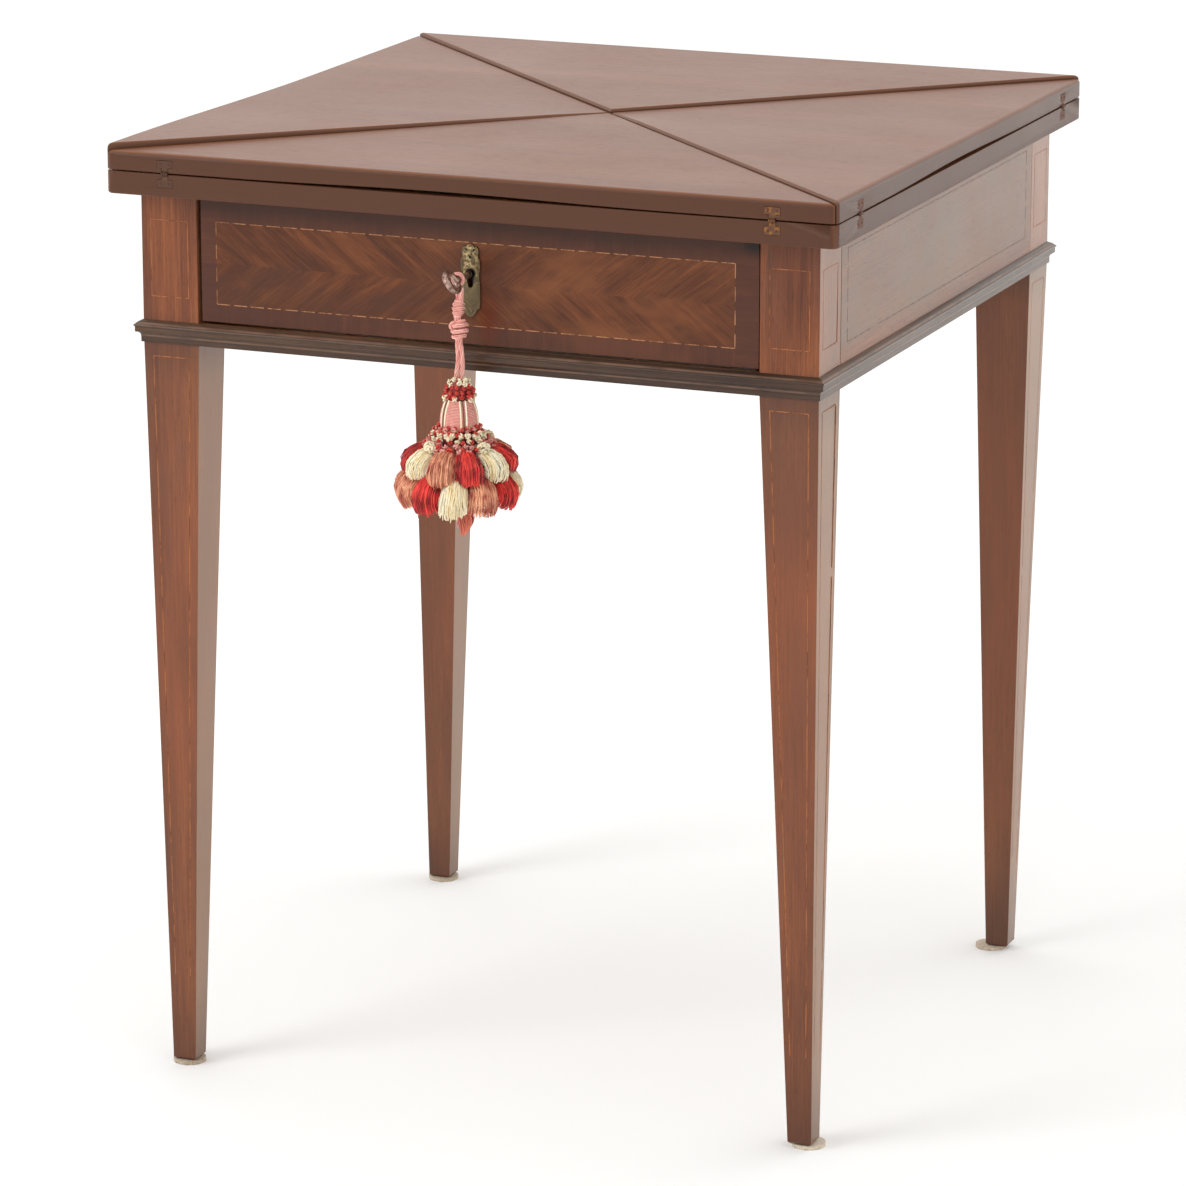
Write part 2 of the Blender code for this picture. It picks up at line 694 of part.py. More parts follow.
def hinge_prism(name, arms, way, end, k, depth, start, mat=None):
    """Push a hinge outline into the edge at one end of a side; way is 1 up in the leaf, -1 down in the bed."""
    at = end * HINGE_ALONG
    grow = FIT if arms == "pocket" else 0.0
    notch = HINGE_KNUCKLE_RADIUS + FIT
    outline = [(at + a, SEAM_LEVEL + way * b) for a, b in hinge_outline(grow, notch, arms)]
    piece = prism(name, outline, "Y", start, -HALF_TOP + depth, mat)
    return turned(piece, k)


def hinge_pocket(name, way, end, k):
    return hinge_prism(name, "pocket", way, end, k, HINGE_PLATE + FIT, -HALF_TOP - CUT_OVERRUN)


def hinge_rod(name, radius, low, high, end, k, steps=SMALL_ROUND_STEPS):
    """A round bar on the hinge line, from low to high as measured from the hinge's middle."""
    at = end * HINGE_ALONG
    outline = circle((-HINGE_AXIS_OUT, SEAM_LEVEL), radius, steps)
    return turned(prism(name, outline, "X", at + low, at + high), k)


def make_hinge(k, side, end, mats):
    label = "hinge_%s_%s" % (side, "a" if end < 0 else "b")
    neck = HINGE_NECK_WIDTH / 2
    knuckle = HINGE_KNUCKLE_WIDTH / 2
    bed = hinge_prism(label + "_bed", "outer", -1, end, k, HINGE_PLATE, -HALF_TOP, mats["brass"])
    lug = knuckle + FIT / 2
    join(bed, hinge_rod("lug_low_" + label, HINGE_KNUCKLE_RADIUS, -neck, -lug, end, k))
    join(bed, hinge_rod("lug_high_" + label, HINGE_KNUCKLE_RADIUS, lug, neck, end, k))
    pin_end = neck - FIT
    join(bed, hinge_rod("pin_" + label, HINGE_PIN_RADIUS, -pin_end, pin_end, end, k))
    leaf = hinge_prism(label + "_leaf", "inner", 1, end, k, HINGE_PLATE, -HALF_TOP, mats["brass"])
    half = knuckle - FIT / 2
    join(leaf, hinge_rod("knuckle_" + label, HINGE_KNUCKLE_RADIUS, -half, half, end, k))
    bore = HINGE_PIN_RADIUS + HINGE_PIN_PLAY
    cut(leaf, hinge_rod("bore_" + label, bore, -knuckle - CUT_OVERRUN, knuckle + CUT_OVERRUN, end, k))
    return smooth(bed), smooth(leaf)


# Drawer

def dovetail_outline(grow):
    """Outline of the drawer sides in (y, z), with tails at the front; grow opens it into the sockets."""
    back = DRAWER_BACK_FACE_Y + FIT
    tip = back - DOVETAIL_LENGTH - grow
    pitch = DRAWER_SIDE_HEIGHT / DOVETAIL_COUNT
    neck = pitch / 4
    points = [(DRAWER_END_Y, SIDE_LOW), (DRAWER_END_Y, SIDE_HIGH), (back, SIDE_HIGH)]
    for i in reversed(range(DOVETAIL_COUNT)):
        middle = SIDE_LOW + (i + 1 / 2) * pitch
        wide = neck + DOVETAIL_FLARE
        points += [(back, middle + neck + grow), (tip, middle + wide + grow), (tip, middle - wide - grow),
                   (back, middle - neck - grow)]
    points.append((back, SIDE_LOW))
    return points


def socket_outline(index):
    """One tail's socket in the drawer front, run out through its back face."""
    back = DRAWER_BACK_FACE_Y + CUT_OVERRUN
    tip = DRAWER_BACK_FACE_Y + FIT - DOVETAIL_LENGTH - FIT
    pitch = DRAWER_SIDE_HEIGHT / DOVETAIL_COUNT
    neck = pitch / 4 + FIT
    wide = neck + DOVETAIL_FLARE
    middle = SIDE_LOW + (index + 1 / 2) * pitch
    return [(back, middle + neck), (tip, middle + wide), (tip, middle - wide), (back, middle - neck)]


def keyhole_outline(grow):
    """Round hole for the shank with a slot below it for the bit, about the key's axis."""
    r = KEYHOLE_RADIUS + grow
    half = KEYHOLE_SLOT_WIDTH / 2 + grow
    x, z = LOCK_SHIFT, KEY_HEIGHT
    side = math.acos(half / r)
    top = arc((x, z), r, -side, math.pi + side, SMALL_ROUND_STEPS)
    end = z - KEYHOLE_DROP + KEYHOLE_SLOT_WIDTH / 2
    foot = arc((x, end), half, -math.pi, 0.0, CORNER_STEPS * 2)
    return top + foot


def make_drawer_front(mats):
    outline = [
        (FACE_Y, DRAWER_LOW), (DRAWER_BACK_FACE_Y, DRAWER_LOW), (DRAWER_BACK_FACE_Y, DRAWER_SHOULDER),
        (FACE_Y + DRAWER_LIP_THICKNESS, DRAWER_SHOULDER), (FACE_Y + DRAWER_LIP_THICKNESS, DRAWER_HIGH),
        (FACE_Y, DRAWER_HIGH),
    ]
    front = prism("drawer_front", outline, "X", DRAWER_LEFT, DRAWER_RIGHT, mats["mahogany"])
    for sign, name in ((-1, "left"), (1, "right")):
        ends = sorted((sign * (SIDE_IN - FIT), sign * (SIDE_OUT + CUT_OVERRUN)))
        for i in range(DOVETAIL_COUNT):
            cut(front, prism("socket_%s_%d" % (name, i), socket_outline(i), "X", *ends))
    low = (-SIDE_IN + FIT, DRAWER_BACK_FACE_Y - DRAWER_GROOVE - FIT, BOTTOM_LOW - FIT)
    high = (SIDE_IN - FIT, DRAWER_BACK_FACE_Y + CUT_OVERRUN, BOTTOM_HIGH + FIT)
    cut(front, box("groove_front", low, high))
    low = (LOCK_SHIFT - LOCK_WIDTH / 2 - FIT, LOCK_FACE_Y - FIT, KEY_HEIGHT - LOCK_BELOW_KEY - FIT)
    high = (LOCK_SHIFT + LOCK_WIDTH / 2 + FIT, DRAWER_BACK_FACE_Y + CUT_OVERRUN,
            DRAWER_SHOULDER + CUT_OVERRUN)
    cut(front, box("lock_mortise", low, high))
    front_run = FACE_Y - CUT_OVERRUN
    cut(front, prism("keyhole_front", keyhole_outline(0.0), "Y", front_run, LOCK_FACE_Y + CUT_OVERRUN))
    return front


def make_drawer_sides(mats):
    sides = []
    for sign, name in ((-1, "left"), (1, "right")):
        ends = sorted((sign * SIDE_IN, sign * SIDE_OUT))
        side = prism("drawer_side_" + name, dovetail_outline(0.0), "X", *ends, mats["drawer_lining"])
        inner = sorted((sign * (SIDE_IN - CUT_OVERRUN), sign * (SIDE_IN + DRAWER_GROOVE + FIT)))
        low = (inner[0], DRAWER_BACK_FACE_Y - CUT_OVERRUN, BOTTOM_LOW - FIT)
        high = (inner[1], DRAWER_END_Y + CUT_OVERRUN, BOTTOM_HIGH + FIT)
        cut(side, box("groove_" + name, low, high))
        low = (inner[0], BACK_FRONT_Y - FIT, BOTTOM_HIGH)
        high = (inner[1], BACK_FRONT_Y + DRAWER_BACK_THICKNESS + FIT, SIDE_HIGH + CUT_OVERRUN)
        cut(side, box("housing_" + name, low, high))
        sides.append(side)
    return sides


def make_drawer(mats):
    front = make_drawer_front(mats)
    sides = make_drawer_sides(mats)
    reach = SIDE_IN + DRAWER_GROOVE
    low = (-reach, DRAWER_BACK_FACE_Y + FIT, BOTTOM_LOW)
    high = (reach, DRAWER_END_Y - FIT, BOTTOM_HIGH)
    bottom = box("drawer_bottom", low, high, mats["drawer_lining"])
    tongue = (-SIDE_IN + FIT * 2, DRAWER_BACK_FACE_Y - DRAWER_GROOVE, BOTTOM_LOW)
    join(bottom, box("tongue_bottom", tongue, (SIDE_IN - FIT * 2, DRAWER_BACK_FACE_Y + DRAWER_GROOVE, BOTTOM_HIGH)))
    low = (-reach, BACK_FRONT_Y, BOTTOM_HIGH + FIT)
    high = (reach, BACK_FRONT_Y + DRAWER_BACK_THICKNESS, SIDE_HIGH)
    back = box("drawer_back", low, high, mats["drawer_lining"])
    return [front, *sides, bottom, back]


# Lock and key

def bolt_mortise():
    half = BOLT_WIDTH / 2 + FIT
    thick = BOLT_THICKNESS / 2 + FIT
    top = FRAME_TOP - TOP_RAIL_HEIGHT
    low = (LOCK_SHIFT - half, POCKET_MIDDLE_Y - thick, top - CUT_OVERRUN)
    high = (LOCK_SHIFT + half, POCKET_MIDDLE_Y + thick, top + BOLT_TRAVEL + FIT)
    return box("bolt_mortise", low, high)


def make_lock(mats):
    half = LOCK_WIDTH / 2
    low = (LOCK_SHIFT - half, LOCK_FACE_Y, KEY_HEIGHT - LOCK_BELOW_KEY)
    high = (LOCK_SHIFT + half, DRAWER_BACK_FACE_Y, DRAWER_SHOULDER)
    case = box("lock_case", low, high, mats["brass"])
    round_pocket = circle((LOCK_SHIFT, KEY_HEIGHT), POCKET_RADIUS, ROUND_STEPS)
    cut(case, prism("lock_pocket", round_pocket, "Y", POCKET_START_Y, POCKET_END_Y))
    cut(case, prism("keyhole_case", keyhole_outline(0.0), "Y", LOCK_FACE_Y - CUT_OVERRUN, POCKET_MIDDLE_Y))
    wide = BOLT_WIDTH / 2 + FIT
    thick = BOLT_THICKNESS / 2 + FIT
    low = (LOCK_SHIFT - wide, POCKET_MIDDLE_Y - thick, KEY_HEIGHT)
    high = (LOCK_SHIFT + wide, POCKET_MIDDLE_Y + thick, DRAWER_SHOULDER + CUT_OVERRUN)
    cut(case, box("bolt_channel", low, high))
    low = (LOCK_SHIFT - BOLT_WIDTH / 2, POCKET_MIDDLE_Y - BOLT_THICKNESS / 2, KEY_HEIGHT + BIT_RADIUS + FIT)
    high = (LOCK_SHIFT + BOLT_WIDTH / 2, POCKET_MIDDLE_Y + BOLT_THICKNESS / 2, DRAWER_SHOULDER)
    bolt = box("lock_bolt", low, high, mats["steel"])
    return case, bolt


def torus(name, centre, ring_radius, wire_radius, axis_turn, ring_steps, wire_steps, mat=None):
    """A ring of round wire whose hole runs along Y, then turned about Y and Z by the matrix given."""
    verts = []
    faces = []
    for i in range(ring_steps):
        a = 2 * math.pi * i / ring_steps
        for j in range(wire_steps):
            b = 2 * math.pi * j / wire_steps
            out = ring_radius + wire_radius * math.cos(b)
            point = Vector((out * math.cos(a), wire_radius * math.sin(b), out * math.sin(a)))
            verts.append(axis_turn @ point + Vector(centre))
            i2, j2 = (i + 1) % ring_steps, (j + 1) % wire_steps
            faces.append([i * wire_steps + j, i2 * wire_steps + j, i2 * wire_steps + j2, i * wire_steps + j2])
    return add_object(name, mesh_from(name, verts, faces), mat)


def make_key(mats):
    tip = POCKET_END_Y - FIT
    ring = BOW_RADIUS - BOW_WIRE_RADIUS
    outline = circle((LOCK_SHIFT, KEY_HEIGHT), SHANK_RADIUS, SMALL_ROUND_STEPS)
    key = prism("key", outline, "Y", BOW_Y + ring, tip, mats["steel"])
    bow_turn = Matrix.Rotation(BOW_TURN, 3, "Y") @ Matrix.Rotation(math.pi / 2, 3, "Z")
    centre = (LOCK_SHIFT, BOW_Y, KEY_HEIGHT)
    join(key, torus("key_bow", centre, ring, BOW_WIRE_RADIUS, bow_turn, ROUND_STEPS, SMALL_ROUND_STEPS // 2))
    outline = circle((LOCK_SHIFT, KEY_HEIGHT), COLLAR_RADIUS, SMALL_ROUND_STEPS)
    join(key, prism("key_collar", outline, "Y", FACE_Y - ESCUTCHEON_PLATE - COLLAR_WIDTH * 2,
                    FACE_Y - ESCUTCHEON_PLATE - COLLAR_WIDTH))
    half = BIT_THICKNESS / 2
    low = (LOCK_SHIFT - half, POCKET_MIDDLE_Y - BIT_WIDTH / 2, KEY_HEIGHT - BIT_RADIUS)
    high = (LOCK_SHIFT + half, POCKET_MIDDLE_Y + BIT_WIDTH / 2, KEY_HEIGHT - SHANK_RADIUS / 2)
    join(key, box("key_bit", low, high))
    return smooth(key)


# Half outline of the escutcheon from its top to its foot: shares of the half width and of the height above or
# below the key's axis. The top is a small double scroll, the foot a blunt point.
SCUTCHEON_SHARES = (
    (0.00, 1.00), (0.22, 0.98), (0.42, 0.90), (0.60, 0.93), (0.82, 0.86), (0.90, 0.74), (0.80, 0.62),
    (0.88, 0.52), (1.00, 0.44), (1.00, 0.20), (0.94, 0.06), (0.94, -0.10), (1.00, -0.22), (1.00, -0.72),
    (0.88, -0.80), (0.70, -0.82), (0.56, -0.90), (0.30, -0.96), (0.00, -1.00),
)


def escutcheon_outline():
    half = []
    for across, up in SCUTCHEON_SHARES:
        z = KEY_HEIGHT + up * (ESCUTCHEON_TOP if up > 0 else ESCUTCHEON_BOTTOM)
        half.append((across * ESCUTCHEON_WIDTH / 2, z))
    mirrored = [(-x, z) for x, z in reversed(half[1:-1])]
    return [(LOCK_SHIFT + x, z) for x, z in half + mirrored]


def make_escutcheon(mats):
    back = FACE_Y - FIT
    front = back - ESCUTCHEON_PLATE
    plate = prism("escutcheon", escutcheon_outline(), "Y", front, back, mats["brass"])
    return cut(plate, prism("keyhole_plate", keyhole_outline(0.0), "Y", front - CUT_OVERRUN, back + CUT_OVERRUN))


# Tassel

def make_loop(mats):
    ring = SHANK_RADIUS + LOOP_PLAY + LOOP_WIRE_RADIUS
    centre = (LOCK_SHIFT, TASSEL_Y, KEY_HEIGHT)
    loop = torus("tassel_loop", centre, ring, LOOP_WIRE_RADIUS, Matrix.Identity(3), SMALL_ROUND_STEPS + 8,
                 SMALL_ROUND_STEPS // 2, mats["cord_pink"])
    return smooth(loop)


def knot_swell(drop, middle, radius):
    """How much a knot adds to the cord's radius at a drop below the key's axis."""
    half = radius * KNOT_LENGTH_SHARE
    share = (drop - middle) / half
    if abs(share) >= 1:
        return 0.0
    return (radius - CORD_RADIUS) * math.sqrt(1 - share * share)


def cord_drops():
    """Drops below the key's axis of the cord's points: close together on the knots, wide apart elsewhere."""
    start = SHANK_RADIUS + LOOP_PLAY + 2 * LOOP_WIRE_RADIUS + FIT
    end = HEAD_DROP + HEAD_LENGTH + SKIRT_LENGTH - CORE_END_LIFT
    drops = [start]
    for middle, radius in ((SMALL_KNOT_DROP, SMALL_KNOT_RADIUS), (BIG_KNOT_DROP, BIG_KNOT_RADIUS)):
        half = radius * KNOT_LENGTH_SHARE
        for i in range(-4, 5):
            drops.append(middle + half * math.sin(i * math.pi / 8))
    spare = end - drops[-1]
    count = max(2, round(spare / (6 * CORD_RADIUS)))
    last = drops[-1]
    for i in range(1, count + 1):
        drops.append(last + spare * i / count)
    return drops


def make_cord(mats):
    curve = bpy.data.curves.new("tassel_cord", "CURVE")
    curve.dimensions = "3D"
    curve.bevel_depth = CORD_RADIUS
    curve.bevel_resolution = 2
    curve.use_fill_caps = True
    drops = cord_drops()
    line = curve.splines.new("POLY")
    line.points.add(len(drops) - 1)
    for point, drop in zip(line.points, drops):
        swell = knot_swell(drop, SMALL_KNOT_DROP, SMALL_KNOT_RADIUS)
        swell += knot_swell(drop, BIG_KNOT_DROP, BIG_KNOT_RADIUS)
        point.co = (LOCK_SHIFT, TASSEL_Y, KEY_HEIGHT - drop, 1.0)
        point.radius = 1 + swell / CORD_RADIUS
    return add_object("tassel_cord", curve, mats["cord_pink"])


def make_head(mats):
    """Two ruffs with a barrel between them, bored for the cord; heights are shares of the head's length."""
    bore = CORD_RADIUS + FIT
    length = HEAD_LENGTH
    outer = [
        (RUFF_RADIUS * 0.55, 0.0), (RUFF_RADIUS, -0.16 * length), (RUFF_RADIUS * 0.96, -0.30 * length),
        (HEAD_RADIUS * 0.78, -0.37 * length), (HEAD_RADIUS * 0.94, -0.50 * length), (HEAD_RADIUS, -0.66 * length),
        (HEAD_RADIUS, -0.74 * length), (COLLAR_RUFF_RADIUS * 0.80, -0.79 * length),
        (COLLAR_RUFF_RADIUS, -0.90 * length), (COLLAR_RUFF_RADIUS, -length),
    ]
    profile = [(bore, -length), (bore, 0.0)] + outer
    place = (LOCK_SHIFT, TASSEL_Y, KEY_HEIGHT - HEAD_DROP)
    return smooth(lathe("tassel_head", profile, ROUND_STEPS, mats["cord_pink"], place))


# Half profile of the skirt, top to bottom: radius as a share of the tier's radius, drop as a share of the skirt's
# length, and how deep the grooves between tufts are there.
UPPER_TIER_SHARES = ((0.48, 0.00, 0.2), (0.80, 0.06, 0.6), (0.97, 0.16, 0.9), (1.00, 0.29, 1.0), (0.92, 0.42, 1.0),
                     (0.72, 0.47, 1.0))
LOWER_TIER_SHARES = ((0.80, 0.49, 1.0), (0.97, 0.55, 1.0), (1.00, 0.64, 1.0), (0.88, 0.76, 1.0), (0.66, 0.85, 1.0),
                     (0.30, 0.87, 0.6))
TIP_SHARES = ((1.0, 0.88, 0.0), (0.8, 0.97, 0.0), (0.4, 1.0, 0.0))


def tuft_ring(radius, z, groove, offset):
    """Ring of a lobed tier: round tufts side by side with a groove between each pair."""
    ring = []
    steps = TUFT_COUNT * TUFT_STEPS
    for i in range(steps):
        a = 2 * math.pi * i / steps
        lobe = abs(math.sin(TUFT_COUNT * (a + offset) / 2))
        r = radius * (1 - TUFT_GROOVE_SHARE * groove * (1 - math.sqrt(lobe)))
        ring.append((LOCK_SHIFT + r * math.cos(a), TASSEL_Y + r * math.sin(a), z))
    return ring


def make_skirt(mats):
    top = KEY_HEIGHT - HEAD_DROP - HEAD_LENGTH - FIT
    half_tuft = math.pi / TUFT_COUNT
    rings = []
    for radius, shares, offset in (
        (UPPER_TIER_RADIUS, UPPER_TIER_SHARES, 0.0),
        (LOWER_TIER_RADIUS, LOWER_TIER_SHARES, half_tuft),
        (TIP_RADIUS, TIP_SHARES, 0.0),
    ):
        for wide, drop, groove in shares:
            rings.append(tuft_ring(radius * wide, top - drop * SKIRT_LENGTH, groove, offset))
    skirt = add_object("tassel_skirt", stacked_mesh("tassel_skirt", rings), mats["tuft_red"])
    bore = circle((LOCK_SHIFT, TASSEL_Y), CORD_RADIUS + FIT, SMALL_ROUND_STEPS)
    end = top - SKIRT_LENGTH + CORE_END_LIFT - FIT
    return smooth(cut(skirt, prism("bore_skirt", bore, "Z", end, top + CUT_OVERRUN)))


def build():
    clear_scene()
    mats = make_materials()
    make_legs(mats)
    make_pads(mats)
    make_rails(mats)
    make_mouldings(mats)
    make_runners(mats)

    top = joint_empty("top_swivel", (0.0, 0.0, BED_BOTTOM))
    bed = make_bed(mats)
    bed_plates = []
    for k, side in enumerate(SIDES):
        leaf, baize = make_leaf(k, side, mats)
        place = quarter_turn(k) @ Vector((0.0, -HINGE_AXIS_OUT, SEAM_LEVEL))
        hinge = joint_empty("leaf_%s_hinge" % side, place, top)
        leaf_plates = []
        for end in (-1, 1):
            low, high = make_hinge(k, side, end, mats)
            bed_plates.append(low)
            leaf_plates.append(high)
        hang_on(hinge, [leaf, baize] + leaf_plates)
    hang_on(top, bed + bed_plates)

    slide = joint_empty("drawer_slide", (LOCK_SHIFT, FACE_Y, KEY_HEIGHT))
    case, bolt = make_lock(mats)
    hang_on(slide, make_drawer(mats) + [make_escutcheon(mats), case])
    hang_on(joint_empty("lock_bolt_slide", (LOCK_SHIFT, POCKET_MIDDLE_Y, KEY_HEIGHT), slide), [bolt])
    pull = joint_empty("key_pull", (LOCK_SHIFT, TASSEL_Y, KEY_HEIGHT), slide)
    hang_on(pull, [make_loop(mats)])
    hang_on(joint_empty("key_turn", (LOCK_SHIFT, BOW_Y, KEY_HEIGHT), pull), [make_key(mats)])
    swing = joint_empty("tassel_swing", (LOCK_SHIFT, TASSEL_Y, KEY_HEIGHT), pull)
    hang_on(swing, [make_cord(mats), make_head(mats), make_skirt(mats)])
    for obj in bpy.data.objects:
        if obj.parent is None:
            obj.location.y += AXIS_Y


build()
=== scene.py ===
# %% [markdown]
# # Dressing an envelope card table
#
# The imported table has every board, hinge plate, pin and lock part at its true size. What it lacks is what
# makes old furniture worth looking at: grain, polish, inlay, softened edges, aged brass, and the silk
# tassel that hangs from the key. Each step below says what the real thing is, how it could be made, and
# why it is made this way here.

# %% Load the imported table
import json
import math
import random

import bmesh
import bpy
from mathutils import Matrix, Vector

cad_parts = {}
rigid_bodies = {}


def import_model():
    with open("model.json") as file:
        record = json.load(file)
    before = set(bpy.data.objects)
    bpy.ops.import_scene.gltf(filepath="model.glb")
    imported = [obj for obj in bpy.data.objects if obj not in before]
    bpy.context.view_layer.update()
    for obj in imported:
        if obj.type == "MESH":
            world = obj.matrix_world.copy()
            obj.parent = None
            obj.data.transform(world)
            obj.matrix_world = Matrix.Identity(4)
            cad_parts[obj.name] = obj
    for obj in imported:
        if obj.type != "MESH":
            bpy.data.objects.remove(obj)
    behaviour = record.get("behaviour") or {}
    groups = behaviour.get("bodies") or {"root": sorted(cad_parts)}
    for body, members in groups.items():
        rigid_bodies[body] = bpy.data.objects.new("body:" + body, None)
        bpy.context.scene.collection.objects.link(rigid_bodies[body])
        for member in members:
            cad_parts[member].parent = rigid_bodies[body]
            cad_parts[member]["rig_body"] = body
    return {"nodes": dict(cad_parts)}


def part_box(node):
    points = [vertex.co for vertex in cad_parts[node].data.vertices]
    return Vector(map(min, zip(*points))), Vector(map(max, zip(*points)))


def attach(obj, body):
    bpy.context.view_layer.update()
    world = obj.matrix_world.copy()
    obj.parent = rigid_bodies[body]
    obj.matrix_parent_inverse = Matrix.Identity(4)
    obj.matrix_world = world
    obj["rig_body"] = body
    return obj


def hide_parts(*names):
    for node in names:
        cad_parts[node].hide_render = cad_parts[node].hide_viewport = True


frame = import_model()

nodes = frame["nodes"]
scene = bpy.context.scene
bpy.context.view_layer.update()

# %% [markdown]
# ## The camera
#
# The photograph was taken from well back with a long lens, a little above the table and to the right of
# it. A camera could be set by eye, but long lenses are unforgiving, so these values were solved from the
# corners of the table: where they are in the picture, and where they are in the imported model. The lens is
# a focal length in pixels, which Blender wants in millimetres on its own sensor.

# %% Place the camera
PHOTO_PIXELS = 1186
SENSOR_MM = 36.0
FOCAL_PIXELS = 5662.2
LENS_CENTRE_X_PIXEL = 595.9
LENS_CENTRE_Y_PIXEL = 591.6
CAMERA_PLACE = (1.6522, -4.1009, 1.5198)
CAMERA_YAW = 0.3846
CAMERA_PITCH = -0.2580

camera_data = bpy.data.cameras.new("photo_camera")
camera_data.sensor_width = SENSOR_MM
camera_data.lens = FOCAL_PIXELS * SENSOR_MM / PHOTO_PIXELS
camera_data.shift_x = (PHOTO_PIXELS / 2 - LENS_CENTRE_X_PIXEL) / PHOTO_PIXELS
camera_data.shift_y = (LENS_CENTRE_Y_PIXEL - PHOTO_PIXELS / 2) / PHOTO_PIXELS
camera = bpy.data.objects.new("photo_camera", camera_data)
camera.location = CAMERA_PLACE
camera.rotation_euler = (math.pi / 2 + CAMERA_PITCH, 0.0, CAMERA_YAW)
scene.collection.objects.link(camera)
scene.camera = camera
print("Lens", round(camera_data.lens, 1), "mm")

# %% [markdown]
# ## Building with nodes
#
# Every finish and every repeated shape below is a tree of nodes. Adding a node in Python takes four or
# five lines: make it, set its options, set or link its sockets. One helper that does all of that keeps
# the rest readable, and it serves shader trees and geometry trees alike.

# %% Helpers for node trees
def node(tree, kind, sockets=None, output=0, **options):
    """Add a node, set its options and sockets, and hand back one of its outputs."""
    made = tree.nodes.new(kind)
    for option, value in options.items():
        setattr(made, option, value)
    for key, value in (sockets or {}).items():
        if isinstance(value, bpy.types.NodeSocket):
            tree.links.new(value, made.inputs[key])
        else:
            made.inputs[key].default_value = value
    return made.outputs[output]


def maths(tree, operation, first, second=0.0, third=0.0):
    return node(tree, "ShaderNodeMath", {0: first, 1: second, 2: third}, operation=operation)


def product(tree, first, *others):
    """Values multiplied together, from the left."""
    for other in others:
        first = maths(tree, "MULTIPLY", first, other)
    return first


def apart(tree, value, middle):
    """How far a value is from a middle, either way."""
    return maths(tree, "ABSOLUTE", maths(tree, "SUBTRACT", value, middle))


def vector_maths(tree, operation, first, second=(0.0, 0.0, 0.0)):
    return node(tree, "ShaderNodeVectorMath", {0: first, 1: second}, operation=operation)


def distance_between(tree, first, second):
    return node(tree, "ShaderNodeVectorMath", {0: first, 1: second}, output="Value",
                operation="DISTANCE")


def scaled(tree, vector, factor):
    return node(tree, "ShaderNodeVectorMath", {0: vector, "Scale": factor}, operation="SCALE")


def split(tree, vector):
    parts = tree.nodes.new("ShaderNodeSeparateXYZ")
    tree.links.new(vector, parts.inputs[0])
    return parts.outputs[0], parts.outputs[1], parts.outputs[2]


def joined(tree, x, y, z):
    return node(tree, "ShaderNodeCombineXYZ", {0: x, 1: y, 2: z})


# %% Helpers for noise and colour
def noise(tree, vector, detail=2.0, roughness=0.5, distortion=0.0, scale=1.0):
    sockets = {"Vector": vector, "Scale": scale, "Detail": detail, "Roughness": roughness,
               "Distortion": distortion}
    return node(tree, "ShaderNodeTexNoise", sockets)


def stretched_noise(tree, place, stretch, *options):
    """Noise with a scale of its own along each axis."""
    return noise(tree, vector_maths(tree, "MULTIPLY", place, stretch), *options)


def spread(tree, value, low, high, new_low=0.0, new_high=1.0):
    """Stretch a value from one range to another, easing in and out, and stop it at the ends."""
    sockets = {0: value, 1: low, 2: high, 3: new_low, 4: new_high}
    return node(tree, "ShaderNodeMapRange", sockets, interpolation_type="SMOOTHSTEP")


def mix(tree, factor, first, second, blend="MIX"):
    sockets = {0: factor, 6: first, 7: second}
    return node(tree, "ShaderNodeMix", sockets, output=2, data_type="RGBA", blend_type=blend)


def ramp(tree, value, stops):
    """A colour ramp: stops are (place, colour), lowest first."""
    made = tree.nodes.new("ShaderNodeValToRGB")
    tree.links.new(value, made.inputs[0])
    elements = made.color_ramp.elements
    while len(elements) < len(stops):
        elements.new(1.0)
    for element, (place, shade) in zip(elements, stops):
        element.position = place
        element.color = shade
    return made.outputs[0]


def colour(red, green, blue):
    """A colour as it looks on a screen, 0 to 255, as the linear light that a shader wants."""
    linear = [((c / 255 + 0.055) / 1.055) ** 2.4 for c in (red, green, blue)]
    return (*linear, 1.0)


# %% Helpers for finishes
def new_finish(name, roughness=0.5, metallic=0.0, **constants):
    """A material with a bare Principled shader: its tree, the shader, and where things are on the piece."""
    material = bpy.data.materials.new(name)
    material.use_nodes = True
    tree = material.node_tree
    shader = tree.nodes["Principled BSDF"]
    shader.inputs["Roughness"].default_value = roughness
    shader.inputs["Metallic"].default_value = metallic
    for socket, value in constants.items():
        label = "IOR" if socket == "ior" else socket.replace("_", " ").title()
        shader.inputs[label].default_value = value
    place = node(tree, "ShaderNodeTexCoord", output="Object")
    return material, tree, shader, place


def bump(tree, shader, height, strength, distance):
    """Let a height bend the light as if the surface rose and fell by a distance."""
    sockets = {"Height": height, "Strength": strength, "Distance": distance}
    tree.links.new(node(tree, "ShaderNodeBump", sockets), shader.inputs["Normal"])


# %% [markdown]
# ## Floor and light
#
# The photograph is cut out on white, with the soft light of a studio. Old French polish is a mirror at a
# low angle: the top and the right-hand faces look pale because they reflect a bright room and floor,
# while the fronts face a darker part of it and show the wood's own red. So the room has to be there for
# the polish to work. A world that is dim in front and bright behind stands for the walls, a wide pale
# disc for the floor, one large lamp at the upper left gives the fronts their direction, and a low, warm
# one at the back right is what the right-hand faces reflect. The room is a little warm too, so the floor
# is a little cool to come out grey.

